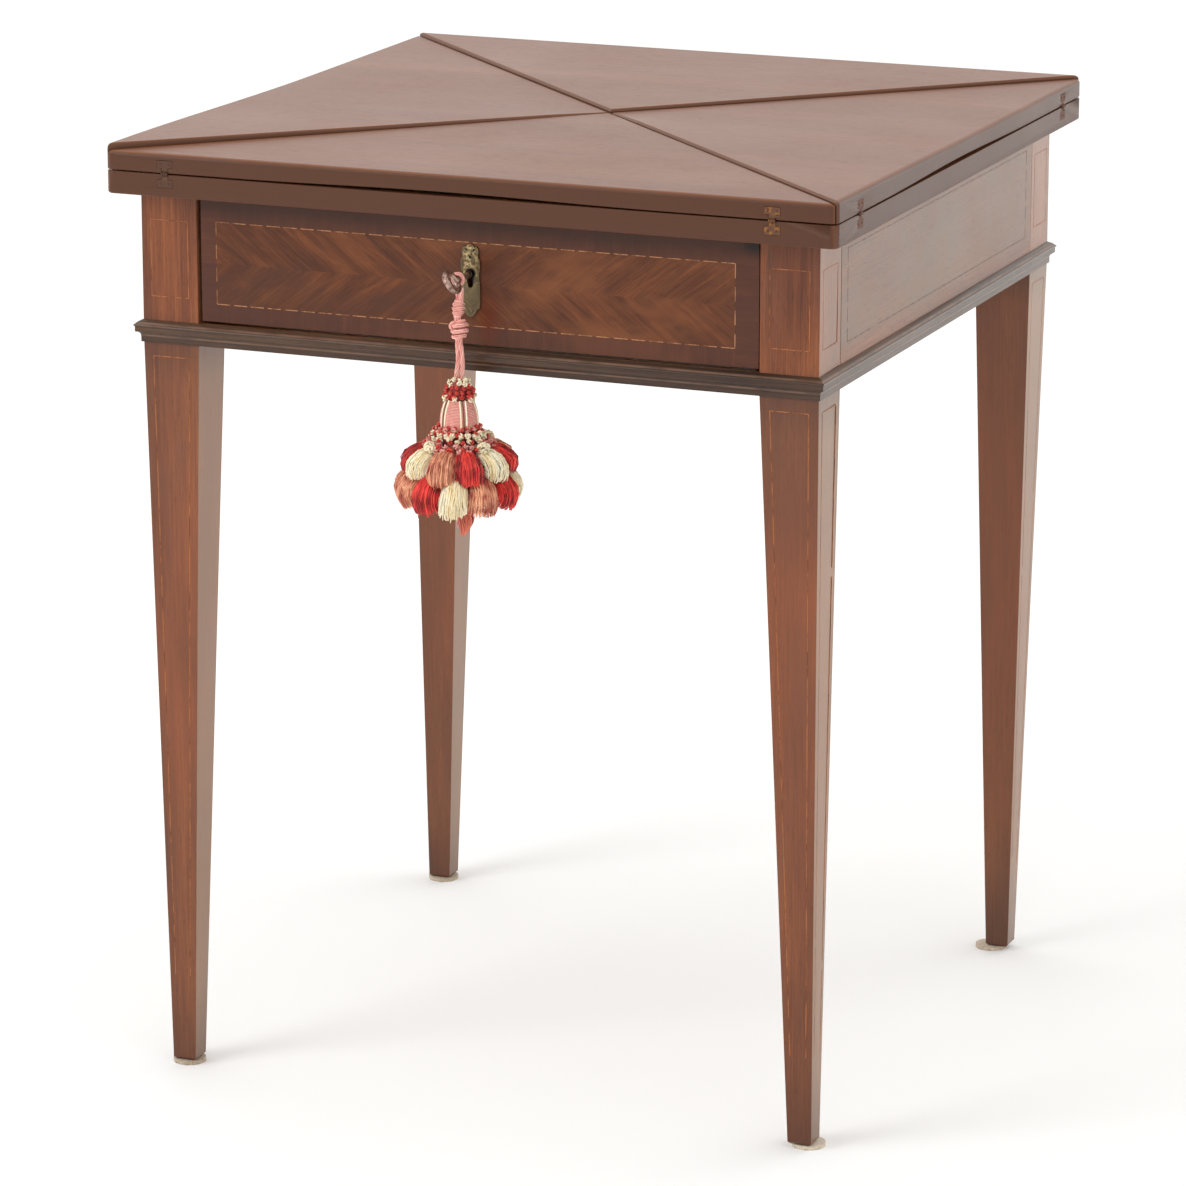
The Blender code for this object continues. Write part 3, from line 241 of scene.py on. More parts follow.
# %% Make the floor, the room and the lamps
FLOOR_RADIUS = 22.0
FLOOR_SIDES = 64
ROOM_FRONT = 0.74
ROOM_BACK = 1.28
ROOM_ABOVE = 1.18
ROOM_WARMTH = (1.0, 0.985, 0.955, 1.0)
LAMPS = (
    # name, place, what it points at, size, power, tint
    ("window_left", (-2.6, -3.2, 3.0), (0.0, 0.0, 0.55), 2.4, 68.0, (1.0, 1.0, 1.0)),
    ("sheen_right", (2.2, 3.2, 0.4), (0.3, 0.0, 0.45), 3.2, 24.5, (1.0, 0.95, 0.88)),
)
FLOOR_PALE = (0.895, 0.91, 0.925, 1.0)
FLOOR_PALER = (0.925, 0.94, 0.955, 1.0)


def make_floor():
    material, tree, shader, place = new_finish("pale_floor", roughness=0.9)
    patches = noise(tree, place, detail=3.0, scale=1.6)
    pale = mix(tree, patches, FLOOR_PALE, FLOOR_PALER)
    tree.links.new(pale, shader.inputs["Base Color"])
    shader.inputs["Specular IOR Level"].default_value = 0.1
    mesh = bpy.data.meshes.new("floor")
    shape = bmesh.new()
    bmesh.ops.create_circle(shape, cap_ends=True, radius=FLOOR_RADIUS, segments=FLOOR_SIDES)
    shape.to_mesh(mesh)
    mesh.materials.append(material)
    floor = bpy.data.objects.new("floor", mesh)
    scene.collection.objects.link(floor)


def make_room():
    world = bpy.data.worlds.new("studio_room")
    world.use_nodes = True
    tree = world.node_tree
    x, y, z = split(tree, node(tree, "ShaderNodeTexCoord", output="Generated"))
    walls = spread(tree, y, -0.8, 0.8, ROOM_FRONT, ROOM_BACK)
    above = spread(tree, z, 0.25, 0.95)
    light = maths(tree, "ADD", product(tree, walls, maths(tree, "SUBTRACT", 1.0, above)),
                  product(tree, above, ROOM_ABOVE))
    tree.nodes["Background"].inputs["Color"].default_value = ROOM_WARMTH
    tree.links.new(light, tree.nodes["Background"].inputs["Strength"])
    scene.world = world


def make_lamp(name, place, target, size, power, tint):
    lamp = bpy.data.lights.new(name, "AREA")
    lamp.color = tint
    lamp.shape = "DISK"
    lamp.size = size
    lamp.energy = power
    stand = bpy.data.objects.new(name, lamp)
    stand.location = place
    stand.rotation_euler = (Vector(target) - Vector(place)).to_track_quat("-Z", "Y").to_euler()
    stand.visible_camera = False
    scene.collection.objects.link(stand)


make_floor()
make_room()
for lamp in LAMPS:
    make_lamp(*lamp)
scene.view_settings.view_transform = "Standard"
scene.view_settings.look = "None"
print("Room light from", ROOM_FRONT, "in front to", ROOM_BACK, "behind")

# %% [markdown]
# ## Mahogany
#
# Mahogany has a soft ribbon figure, fine straight fibres, and short dark pores filled with old polish. An
# image would give all of that, but it would stretch and repeat, and would have to be unwrapped on sixty
# pieces. Noise stretched along the grain gives each layer instead: a slow one for the figure, a fast one
# for the fibres, and a very fine one, cut off high, for the pores. The only thing that a board has to say
# for itself is which way its grain lies.

# %% A wood finish that any board can use
POLISH_IOR = 1.30


def laid(axis):
    """How the grain is laid: turns a place so that its first number runs along the grain."""
    def turn(tree, place):
        x, y, z = split(tree, place)
        order = {"X": (x, y, z), "Y": (y, z, x), "Z": (z, x, y)}
        return joined(tree, *order[axis])
    return turn


def wood(name, shades, lay, stain=None, gloss=0.38, ribbon=26.0, fibres=520.0, pore_depth=0.45,
         contrast=1.0, streak=3.0, polish=0.45):
    """Dark, middle and light shades of a wood, and how its grain is laid; stain may darken it in places."""
    dark, middle, light = shades
    material, tree, shader, place = new_finish(name, roughness=gloss)
    shader.inputs["Coat Weight"].default_value = polish
    shader.inputs["Coat Roughness"].default_value = 0.25
    shader.inputs["Coat IOR"].default_value = POLISH_IOR
    shader.inputs["IOR"].default_value = POLISH_IOR
    grain = lay(tree, place)
    figure = stretched_noise(tree, grain, (streak, ribbon, ribbon), 3.0, 0.55, 0.6)
    fibre = stretched_noise(tree, grain, (11.0, fibres, fibres), 4.0, 0.65)
    pores = stretched_noise(tree, grain, (95.0, 2100.0, 2100.0), 1.0)
    patches = noise(tree, place, 3.0, scale=9.0)
    tone = maths(tree, "MULTIPLY_ADD", fibre, 0.42, product(tree, figure, 0.58))
    tone = maths(tree, "MULTIPLY_ADD", maths(tree, "SUBTRACT", tone, 0.5), contrast, 0.5)
    shade = ramp(tree, tone, ((0.34, dark), (0.5, middle), (0.68, light)))
    shade = mix(tree, spread(tree, patches, 0.35, 0.75, 0.0, 0.35), shade, middle)
    pore = spread(tree, pores, 0.60, 0.72)
    shade = mix(tree, product(tree, pore, pore_depth), shade, dark, "MULTIPLY")
    if stain:
        shade = stain(tree, place, shade)
    tree.links.new(shade, shader.inputs["Base Color"])
    dull = maths(tree, "MULTIPLY_ADD", patches, 0.16, gloss - 0.08)
    tree.links.new(maths(tree, "MULTIPLY_ADD", pore, 0.12, dull), shader.inputs["Roughness"])
    height = maths(tree, "MULTIPLY_ADD", fibre, 0.35, product(tree, pore, -1.0))
    bump(tree, shader, height, 0.22, 0.00025)
    return material


MAHOGANY = (colour(82, 39, 20), colour(123, 66, 35), colour(160, 93, 50))
TOP_SHADES = (colour(101, 56, 34), colour(117, 69, 42), colour(131, 81, 52))
EDGE_BROWN = colour(80, 49, 33)
# painted shade for the edges of the top that look right
RIGHT_EDGE_PAINTED_SHADE = colour(66, 33, 17)
SEAM_GREY = colour(90, 66, 52)
DARK_SHADES = (colour(48, 34, 27), colour(73, 52, 39), colour(105, 78, 60))
LINING_SHADES = (colour(138, 102, 66), colour(170, 132, 90), colour(196, 160, 116))

# %% [markdown]
# ## Softened edges
#
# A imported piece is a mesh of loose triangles: right in shape, but with knife edges and flat facets. A
# century of dusting rounds every arris, and that soft line of light is half of what the eye takes for
# wood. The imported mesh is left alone. A copy is welded, its long outer edges are rounded by a fraction of
# a millimetre, and it is shaded smooth wherever the faces meet at a shallow angle. Smooth shading bends
# the light on a broad flat face towards its narrow neighbours, so the broad faces are given the greater
# say in it. The copy then stands for the piece.

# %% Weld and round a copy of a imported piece
WELD_DISTANCE = 0.00002
FLAT_ANGLE = math.radians(0.4)
SHARP_ANGLE = math.radians(32)


def welded(name):
    """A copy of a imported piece's mesh with its loose triangles joined."""
    shape = bmesh.new()
    shape.from_mesh(nodes[name].data)
    bmesh.ops.remove_doubles(shape, verts=shape.verts, dist=WELD_DISTANCE)
    return shape


def round_arrises(shape, width, shortest):
    """Round the outer edges that are longer than shortest."""
    bmesh.ops.dissolve_limit(shape, angle_limit=FLAT_ANGLE, verts=shape.verts, edges=shape.edges)
    edges = [edge for edge in shape.edges
             if len(edge.link_faces) == 2 and edge.calc_length() > shortest
             and edge.calc_face_angle_signed(0.0) > SHARP_ANGLE]
    bmesh.ops.bevel(shape, geom=edges, offset=width, segments=2, profile=0.5, affect="EDGES",
                    clamp_overlap=True)


# %% Smooth the copy and stand it in the piece's place
def applied(piece):
    """An object's mesh as its modifiers leave it."""
    bpy.context.view_layer.update()
    depsgraph = bpy.context.evaluated_depsgraph_get()
    mesh = bpy.data.meshes.new_from_object(piece.evaluated_get(depsgraph), preserve_all_data_layers=True,
                                           depsgraph=depsgraph)
    mesh.name = piece.name
    return mesh


def place_piece(name, shape, body, materials):
    """Turn a worked mesh into a finished piece that rides on a body."""
    mesh = bpy.data.meshes.new(name)
    shape.to_mesh(mesh)
    shape.free()
    mesh.shade_smooth()
    mesh.set_sharp_from_angle(angle=SHARP_ANGLE)
    for material in materials:
        mesh.materials.append(material)
    piece = bpy.data.objects.new(name, mesh)
    scene.collection.objects.link(piece)
    flatter = piece.modifiers.new("flatter", "WEIGHTED_NORMAL")
    flatter.mode = "FACE_AREA"
    flatter.keep_sharp = True
    piece.data = applied(piece)
    piece.modifiers.clear()
    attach(piece, body)
    return piece


def body_of_node(name):
    return nodes[name]["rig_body"]


def dress(name, material, arris=0.0, shortest=0.02, change=None):
    """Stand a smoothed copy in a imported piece's place, with its finish."""
    shape = welded(name)
    if change:
        change(shape)
    if arris:
        round_arrises(shape, arris, shortest)
    piece = place_piece(name + "_finished", shape, body_of_node(name), [material])
    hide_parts(name)
    return piece


# %% [markdown]
# ## The legs and the frieze
#
# The four legs run up past the frieze as its corner posts, with their grain upright, and the rails
# between them have theirs level. Legs darken towards the foot, where mops and shoes reach them. Shade is
# painted in under the moulding, on the back legs and at the top of the front right leg, a glow of light
# is painted half way up, and a sheen on the faces that look right. One function adds all that to the wood
# from the place alone, so that all four legs share it, and each leg gets its own colour from its own patch
# of noise and from where it stands.

# %% How age has marked the legs and rails, and where light and shade are painted on the legs
FOOT_DARK_TOP = 0.085
SHADE_BELOW_MOULDING = 0.035
# where the painted glow of light begins, is full, fades and ends
GLOW_HEIGHTS = (0.10, 0.34, 0.44, 0.57)
# where the painted shade at the top of the front right leg begins and is full
FRONT_RIGHT_SHADE_HEIGHTS = (0.43, 0.51)
PATINA_HALF_HEIGHT = 0.045
moulding_low, moulding_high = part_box("moulding_front")


def right_faces_painted_light(tree):
    """One on the faces that look to the right and nought elsewhere: where painted sheen and painted shade
    go on that side.
    """
    normal = node(tree, "ShaderNodeTexCoord", output="Normal")
    return spread(tree, split(tree, normal)[0], 0.6, 0.95)


def leg_stain(tree, place, shade):
    """Greyed in patches and dark at the foot, with painted light: a glow half way up, shade under the
    moulding, on the back legs and at the top of the front right leg, and sheen on the faces that look
    right.
    """
    x, y, z = split(tree, place)
    below = maths(tree, "LESS_THAN", z, moulding_high.z)
    worn = stretched_noise(tree, place, (60.0, 60.0, 7.0), 3.0)
    shade = mix(tree, spread(tree, worn, 0.50, 0.75, 0.0, 0.45), shade, colour(88, 58, 47))
    # painted highlight: a lighter, more orange glow half way up the legs
    begins, full, fades, ends = GLOW_HEIGHTS
    broad = stretched_noise(tree, place, (9.0, 9.0, 5.0), 2.0)
    rubbed = product(tree, spread(tree, z, begins, full), spread(tree, z, fades, ends, 1.0, 0.0),
                     spread(tree, broad, 0.40, 0.62, 0.25, 0.85))
    shade = mix(tree, rubbed, shade, colour(186, 116, 70), "SOFT_LIGHT")
    shade = mix(tree, product(tree, rubbed, 0.34), shade, colour(176, 114, 70))
    shade = mix(tree, product(tree, below, 0.30), shade, colour(112, 74, 55))
    # painted shade: the front right leg darker towards its top, below the moulding
    right, front = maths(tree, "GREATER_THAN", x, 0.0), maths(tree, "LESS_THAN", y, 0.0)
    dirty = product(tree, spread(tree, z, *FRONT_RIGHT_SHADE_HEIGHTS, 0.0, 0.42), right, front, below)
    shade = mix(tree, dirty, shade, colour(88, 56, 42))
    # painted shade: the back legs duller and darker below the moulding
    behind = product(tree, maths(tree, "GREATER_THAN", y, 0.0), below, 0.30)
    shade = mix(tree, behind, shade, colour(98, 68, 50))
    # painted sheen: the faces that look right are paler, more so below the moulding
    faded = product(tree, right_faces_painted_light(tree), maths(tree, "MULTIPLY_ADD", below, 0.24, 0.18))
    shade = mix(tree, faded, shade, colour(172, 142, 112))
    foot = spread(tree, z, 0.0, FOOT_DARK_TOP, 0.45, 0.0)
    # painted shade under the moulding, taken together with the darker foot
    shaded = spread(tree, z, moulding_low.z - SHADE_BELOW_MOULDING, moulding_low.z, 0.0, 0.35)
    return mix(tree, maths(tree, "MAXIMUM", foot, product(tree, shaded, below)), shade, colour(58, 37, 28))


def side_patina(tree, place, shade):
    """The rails have faded to a greyish tan in broad patches, less near their edges."""
    z = split(tree, place)[2]
    from_edge = apart(tree, z, (moulding_high.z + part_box("rail_right")[1].z) / 2)
    inside = spread(tree, from_edge, PATINA_HALF_HEIGHT * 0.7, PATINA_HALF_HEIGHT, 1.0, 0.5)
    clouds = stretched_noise(tree, place, (13.0, 13.0, 26.0), 4.0)
    faded = product(tree, inside, spread(tree, clouds, 0.36, 0.66, 0.60, 0.90))
    mottle = spread(tree, noise(tree, place, 3.0, scale=31.0), 0.40, 0.60)
    return mix(tree, faded, shade, mix(tree, mottle, colour(114, 86, 64), colour(110, 89, 72)))


# %% Finish the legs and rails
LEG_ARRIS = 0.0007
CORNERS = ("front_left", "front_right", "back_left", "back_right")
leg_wood = wood("mahogany_upright", MAHOGANY, laid("Z"), leg_stain, polish=0.7)
rail_wood_x = wood("mahogany_level", MAHOGANY, laid("X"), side_patina)
rail_wood_y = wood("mahogany_level_sides", MAHOGANY, laid("Y"), side_patina)
for corner in CORNERS:
    dress("leg_" + corner, leg_wood, LEG_ARRIS)
for name, material in (("rail_left", rail_wood_y), ("rail_right", rail_wood_y), ("rail_back", rail_wood_x),
                       ("rail_front_lower", rail_wood_x), ("rail_front_top", rail_wood_x),
                       ("pivot_rail", rail_wood_x), ("drawer_runner_left", rail_wood_y),
                       ("drawer_runner_right", rail_wood_y)):
    dress(name, material)
print("Legs and rails finished")

# %% [markdown]
# ## The moulding
#
# The moulding round the foot of the frieze is stained nearly black, and rubbed brown along its beads
# where a cloth can reach. The rubbed lines follow the moulding, so height is again all that the finish
# has to know: a brighter brown is mixed in at the level of each bead, broken up by noise.

# %% Finish the moulding
BEAD_SHARES = (0.30, 0.86)
BEAD_RUB_WIDTH = 0.0012
SIDES = ("front", "right", "back", "left")
SIDES_ALONG_X = ("front", "back")


def rubbed_beads(tree, place, shade):
    """Brown along the beads of the moulding, where the black has worn off."""
    z = split(tree, place)[2]
    height = moulding_high.z - moulding_low.z
    rub = 0.0
    for share in BEAD_SHARES:
        away = apart(tree, z, moulding_low.z + share * height)
        rub = maths(tree, "MAXIMUM", rub, spread(tree, away, 0.0, BEAD_RUB_WIDTH, 1.0, 0.0))
    broken = spread(tree, noise(tree, place, 3.0, scale=38.0), 0.30, 0.60, 0.25, 0.85)
    return mix(tree, product(tree, rub, broken), shade, colour(128, 97, 79))


for side in SIDES:
    axis = "X" if side in SIDES_ALONG_X else "Y"
    finish = wood("dark_moulding_" + side, DARK_SHADES, laid(axis), rubbed_beads, gloss=0.34)
    dress("moulding_" + side, finish)
print("Moulding from", round(moulding_low.z, 4), "to", round(moulding_high.z, 4))

# %% [markdown]
# ## The folding top
#
# The four leaves meet in a cross like the flaps of an envelope. After a hundred years they no longer lie
# level: the back leaf stands proud of its neighbours, the front one has sunk, and the left one has lifted
# at the front corner, so the brown edge of each farther leaf shows as a stripe along the cross. Sculpting
# would do, but the warp follows a simple rule: a height at each end of both diagonals, blended between.
# So the copy of each leaf is cut into strips, with a narrow one along each edge to keep the polish crisp
# there, and its upper points are raised or lowered by a formula. The underside bows up a little too,
# which is why the seam at the front is widest in its middle.

# %% Let the leaves settle
LEAF_HEIGHTS = {
    # at the centre and the corner of the first diagonal, then of the second
    "front": (-0.0024, -0.0024, -0.0024, -0.0024), "left": (-0.0014, 0.0024, -0.0024, -0.0026),
    "right": (-0.0008, -0.0004, -0.0024, -0.0028), "back": (0.0, 0.0, 0.0, 0.0)}
STRIP = 0.036
EDGE_STRIP = 0.0022
WARP_STEEPNESS = 1.6
SETTLE_STEEPNESS = 1.6
SEAM_LIFT = 0.0020
SEAM_LIFT_HALF_LENGTH = 0.17
SEAM_LIFT_SHIFT = STRIP / 2
SEAM_DEPTH = 0.02
bed_low, bed_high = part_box("bed_board")
swivel_y = (bed_low.y + bed_high.y) / 2
half_top = (bed_high.x - bed_low.x) / 2
leaf_low, leaf_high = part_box("leaf_front")


def smooth_step(value):
    value = min(1.0, max(0.0, value))
    return value * value * (3 - 2 * value)


def leaf_height(side, x, y):
    """How far a leaf's upper face has moved at a place, measured from the swivel."""
    out = max(abs(x), abs(y), EDGE_STRIP)
    turn = 0.5 + 0.5 * (x if side in SIDES_ALONG_X else y) / out
    first_in, first_out, second_in, second_out = LEAF_HEIGHTS[side]
    first = first_in + (first_out - first_in) * out / half_top
    second = second_in + (second_out - second_in) * out / half_top
    return first + (second - first) * smooth_step(turn * WARP_STEEPNESS)


def cut(shape, place, direction):
    """Cut a shape along a plane, and hand back what lies on the cut."""
    geometry = shape.verts[:] + shape.edges[:] + shape.faces[:]
    return bmesh.ops.bisect_plane(shape, geom=geometry, plane_co=place, plane_no=direction)["geom_cut"]


def settle(side, shape):
    """Cut a leaf into strips and let it move."""
    centre = Vector((0.0, swivel_y, 0.0))
    along = Vector((1.0, 0.0, 0.0)) if side in SIDES_ALONG_X else Vector((0.0, 1.0, 0.0))
    across = Vector((along.y, along.x, 0.0))
    reach = int(half_top / STRIP)
    for step in range(-reach, reach + 1):
        cut(shape, centre + along * (step * STRIP), along)
        cut(shape, centre + across * (step * STRIP), across)
    for sign in (-1, 1):
        cut(shape, centre + across * (sign * (half_top - 2 * EDGE_STRIP)), across)
        for diagonal in (Vector((1.0, 1.0, 0.0)).normalized(), Vector((1.0, -1.0, 0.0)).normalized()):
            cut(shape, centre + diagonal * (sign * EDGE_STRIP), diagonal)
    thickness = leaf_high.z - leaf_low.z
    for vert in shape.verts:
        x, y = vert.co.x, vert.co.y - swivel_y
        below_face = (leaf_high.z - vert.co.z) / thickness
        vert.co.z += leaf_height(side, x, y) * smooth_step(1 - below_face * SETTLE_STEEPNESS)
        near_rim = max(abs(x), abs(y)) > half_top - SEAM_DEPTH
        if near_rim and vert.co.z < leaf_low.z + thickness / 4:
            reach_along = abs((x if side in SIDES_ALONG_X else y) + SEAM_LIFT_SHIFT)
            vert.co.z += SEAM_LIFT * (1 - smooth_step(reach_along / SEAM_LIFT_HALF_LENGTH))


# %% Stain and finish the top, with painted shade on its right edges
SEAM_GREY_REACH = 0.0022
EDGE_STAIN_CREEP = 0.0014
EDGE_STAIN_FULL = 0.0002


def edge_stain(tree, place, shade):
    """The edges of the top were stained darker than its face, with painted shade on the edges that look
    right, and its seams are greyer.
    """
    x, y, z = split(tree, place)
    aside, away = apart(tree, x, 0.0), apart(tree, y, swivel_y)
    # greyer along the seams
    seam = spread(tree, apart(tree, aside, away), SEAM_GREY_REACH * 0.6, SEAM_GREY_REACH, 0.6, 0.0)
    shade = mix(tree, seam, shade, SEAM_GREY)
    edge = spread(tree, maths(tree, "MAXIMUM", aside, away), half_top - EDGE_STAIN_CREEP,
                  half_top - EDGE_STAIN_FULL)
    # painted shade: the edges that look right are darker still
    stain = mix(tree, product(tree, right_faces_painted_light(tree), 0.75), EDGE_BROWN, RIGHT_EDGE_PAINTED_SHADE)
    return mix(tree, product(tree, edge, 0.9), shade, stain)


top_wood = wood("mahogany_top", TOP_SHADES, laid("X"), edge_stain, gloss=0.44, ribbon=16.0, streak=1.2,
                pore_depth=0.22, contrast=0.6, polish=0.26)
for side in SIDES:
    dress("leaf_" + side, top_wood,
          change=lambda shape, side=side: settle(side, shape))
dress("bed_board", top_wood)
print("Leaves move by up to", max(abs(h) for row in LEAF_HEIGHTS.values() for h in row) * 1000, "mm")

# %% [markdown]
# ## The drawer front
#
# The drawer front is veneered. Its middle is four pieces cut from one sheet and opened like a book, so
# that the grain makes arrowheads pointing at the keyhole; round it runs a crossbanding with its grain
# square to the edge. This could be four pieces of geometry, but a veneer has no thickness to speak of, so
# it is one finish that lays the grain three ways. Folding the place with an absolute value makes the
# mirrored quarters.

# %% Lay the grain of the veneer
INLAY_INSET_LEFT = 0.013
INLAY_INSET_RIGHT = 0.0189
INLAY_INSET_BELOW = 0.0142
INLAY_INSET_ABOVE = 0.0192
ARROW_ANGLE = math.radians(38)
# each quarter takes its figure from another part of the sheet
QUARTER_SHIFT = (0.031, 0.0173)
front_low, front_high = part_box("drawer_front")
inlay_low = Vector((front_low.x + INLAY_INSET_LEFT, front_low.y, front_low.z + INLAY_INSET_BELOW))
inlay_high = Vector((front_high.x - INLAY_INSET_RIGHT, front_low.y, front_high.z - INLAY_INSET_ABOVE))
inlay_middle = (inlay_low + inlay_high) / 2


def band_masks(tree, place):
    """1 outside the inlaid rectangle, 1 past its two ends, and how far across and up from its middle."""
    x, y, z = split(tree, place)
    across, up = apart(tree, x, inlay_middle.x), apart(tree, z, inlay_middle.z)
    past_end = maths(tree, "GREATER_THAN", across, (inlay_high.x - inlay_low.x) / 2)
    past_side = maths(tree, "GREATER_THAN", up, (inlay_high.z - inlay_low.z) / 2)
    return maths(tree, "MAXIMUM", past_end, past_side), past_end, across, up


def laid_veneer(tree, place):
    """Where the veneer's grain lies: arrowheads in the middle, square to the edge in the crossbanding."""
    x, y, z = split(tree, place)
    band, past_end, across, up = band_masks(tree, place)
    sine, cosine = math.sin(ARROW_ANGLE), math.cos(ARROW_ANGLE)
    along = maths(tree, "ADD", product(tree, across, cosine), product(tree, up, sine))
    beside = maths(tree, "SUBTRACT", product(tree, up, cosine), product(tree, across, sine))
    right = maths(tree, "GREATER_THAN", x, inlay_middle.x)
    upper = maths(tree, "GREATER_THAN", z, inlay_middle.z)
    quarter = maths(tree, "MULTIPLY_ADD", right, QUARTER_SHIFT[0], product(tree, upper, QUARTER_SHIFT[1]))
    arrow = joined(tree, along, beside, quarter)
    ends = joined(tree, x, z, 0.0)
    sides = joined(tree, z, x, 0.0)
    banding = node(tree, "ShaderNodeMix", {0: past_end, 4: sides, 5: ends}, output=1, data_type="VECTOR")
    return node(tree, "ShaderNodeMix", {0: band, 4: arrow, 5: banding}, output=1, data_type="VECTOR")


# %% Stain and finish the drawer, with painted shadows
# painted shadow at the upper right corner of the drawer: its reach, raggedness and grain
CORNER_SHADOW_REACH = (0.012, 0.026)
CORNER_SHADOW_RAGGEDNESS = 0.016
CORNER_SHADOW_GRAIN = 120.0
TOP_SHADE_BELOW = 0.004
RUST_PLACE = (0.014, 0.63)
RUST_REACH = 0.012
RUST_SQUASH = 0.35
DRAWER_ARRIS = 0.0005
VENEER = (colour(64, 31, 16), colour(93, 48, 23), colour(130, 73, 36))


def front_stain(tree, place, shade):
    """The crossbanding is darker, painted shadow falls along the top under the overhang and on the upper
    right corner, where the gap above lies in shade, and rust ran from the lock.
    """
    z = split(tree, place)[2]
    band = band_masks(tree, place)[0]
    cloudy = stretched_noise(tree, place, (12.0, 1.0, 26.0), 3.0)
    shade = mix(tree, spread(tree, cloudy, 0.50, 0.66, 0.0, 0.55), shade, colour(126, 73, 39))
    shade = mix(tree, spread(tree, cloudy, 0.34, 0.48, 0.60, 0.0), shade, colour(75, 42, 27))
    shade = mix(tree, product(tree, band, 0.66), shade, colour(76, 42, 32))
    # painted shadow of the top's overhang: darker towards the top of the drawer front
    top = spread(tree, z, inlay_high.z - TOP_SHADE_BELOW, front_high.z - TOP_SHADE_BELOW, 0.0, 0.55)
    shade = mix(tree, top, shade, colour(48, 29, 22))
    # painted shadow: the upper right corner near black, where the gap above the drawer lies in shade
    corner = distance_between(tree, place, (front_high.x, front_low.y, front_high.z))
    ragged = maths(tree, "MULTIPLY_ADD", noise(tree, place, 3.0, scale=CORNER_SHADOW_GRAIN), CORNER_SHADOW_RAGGEDNESS, corner)
    shade = mix(tree, spread(tree, ragged, *CORNER_SHADOW_REACH, 0.9, 0.0), shade, colour(24, 18, 16))
    run = vector_maths(tree, "MULTIPLY", place, (1.0, 0.0, RUST_SQUASH))
    rust = distance_between(tree, run, (RUST_PLACE[0], 0.0, RUST_PLACE[1] * RUST_SQUASH))
    return mix(tree, spread(tree, rust, 0.0, RUST_REACH, 0.52, 0.0), shade, colour(98, 35, 19))


front_wood = wood("drawer_veneer", VENEER, laid_veneer, front_stain, gloss=0.40, ribbon=120.0, fibres=900.0,
                  contrast=0.85, streak=16.0, polish=0.3)
lining_x = wood("lining_level", LINING_SHADES, laid("X"), gloss=0.62)
lining_y = wood("lining_sides", LINING_SHADES, laid("Y"), gloss=0.62)
dress("drawer_front", front_wood, DRAWER_ARRIS)
for name, material in (("drawer_side_left", lining_y), ("drawer_side_right", lining_y),
                       ("drawer_back", lining_x), ("drawer_bottom", lining_x)):
    dress(name, material)
print("Inlaid rectangle", [round(v, 4) for v in (*inlay_low, *inlay_high)])

# %% [markdown]
# ## Inlaid lines
#
# Lines of pale wood, under a millimetre wide, are let into the legs, the corner posts and the rails, and
# a dashed line frames the drawer. They could be painted into the wood, but each is a separate strip with
# its own sheen and its own gaps, so they are laid as strips. A geometry tree does it: walk along a line
# at an even pitch, put a small flat block at each step, turn it along the line and square to the face,
# and leave some out where the inlay has been lost.

# %% A tree that lays strips along lines
def new_tree(name, sockets):
    """A geometry tree with named inputs: (name, kind, default)."""
    tree = bpy.data.node_groups.new(name, "GeometryNodeTree")
    tree.is_modifier = True
    tree.interface.new_socket("Geometry", in_out="INPUT", socket_type="NodeSocketGeometry")
    tree.interface.new_socket("Geometry", in_out="OUTPUT", socket_type="NodeSocketGeometry")
    for label, kind, default in sockets:
        socket = tree.interface.new_socket(label, in_out="INPUT", socket_type="NodeSocket" + kind)
        if default is not None:
            socket.default_value = default
    start = tree.nodes.new("NodeGroupInput")
    end = tree.nodes.new("NodeGroupOutput")
    return tree, start.outputs, end.inputs["Geometry"]


def finished(tree, geometry, material, end):
    """The last steps of every tree: make copies real, give them their material, hand them on."""
    real = node(tree, "GeometryNodeRealizeInstances", {0: geometry})
    tree.links.new(node(tree, "GeometryNodeSetMaterial", {0: real, "Material": material}), end)


def make_strip_tree():
    tree, given, end = new_tree("lay_strips", (
        ("Pitch", "Float", 0.01), ("Strip Length", "Float", 0.01), ("Strip Width", "Float", 0.0008),
        ("Strip Thickness", "Float", 0.0004), ("Lost Share", "Float", 0.0), ("Facing", "Vector", None),
        ("Seed", "Int", 1), ("Material", "Material", None)))
    line = node(tree, "GeometryNodeMeshToCurve", {0: given["Geometry"]})
    steps = node(tree, "GeometryNodeResampleCurve", {"Curve": line, "Length": given["Pitch"]},
                 mode="LENGTH")
    size = joined(tree, given["Strip Length"], given["Strip Width"], given["Strip Thickness"])
    block = node(tree, "GeometryNodeMeshCube", {"Size": size})
    tangent = tree.nodes.new("GeometryNodeInputTangent").outputs[0]
    along = node(tree, "FunctionNodeAlignRotationToVector", {"Vector": tangent}, axis="X")
    squared = node(tree, "FunctionNodeAlignRotationToVector",
                   {"Rotation": along, "Vector": given["Facing"]}, axis="Z", pivot_axis="X")
    chance = node(tree, "FunctionNodeRandomValue", {"Seed": given["Seed"]}, output=1, data_type="FLOAT")
    kept = node(tree, "FunctionNodeCompare", {0: chance, 1: given["Lost Share"]}, data_type="FLOAT",
                operation="GREATER_EQUAL")
    strips = node(tree, "GeometryNodeInstanceOnPoints",
                  {"Points": steps, "Instance": block, "Selection": kept, "Rotation": squared})
    finished(tree, strips, given["Material"], end)
    return tree


# %% Run a tree on lines of points
def carried(piece, body):
    """Let a piece ride on a body."""
    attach(piece, body)
    return piece


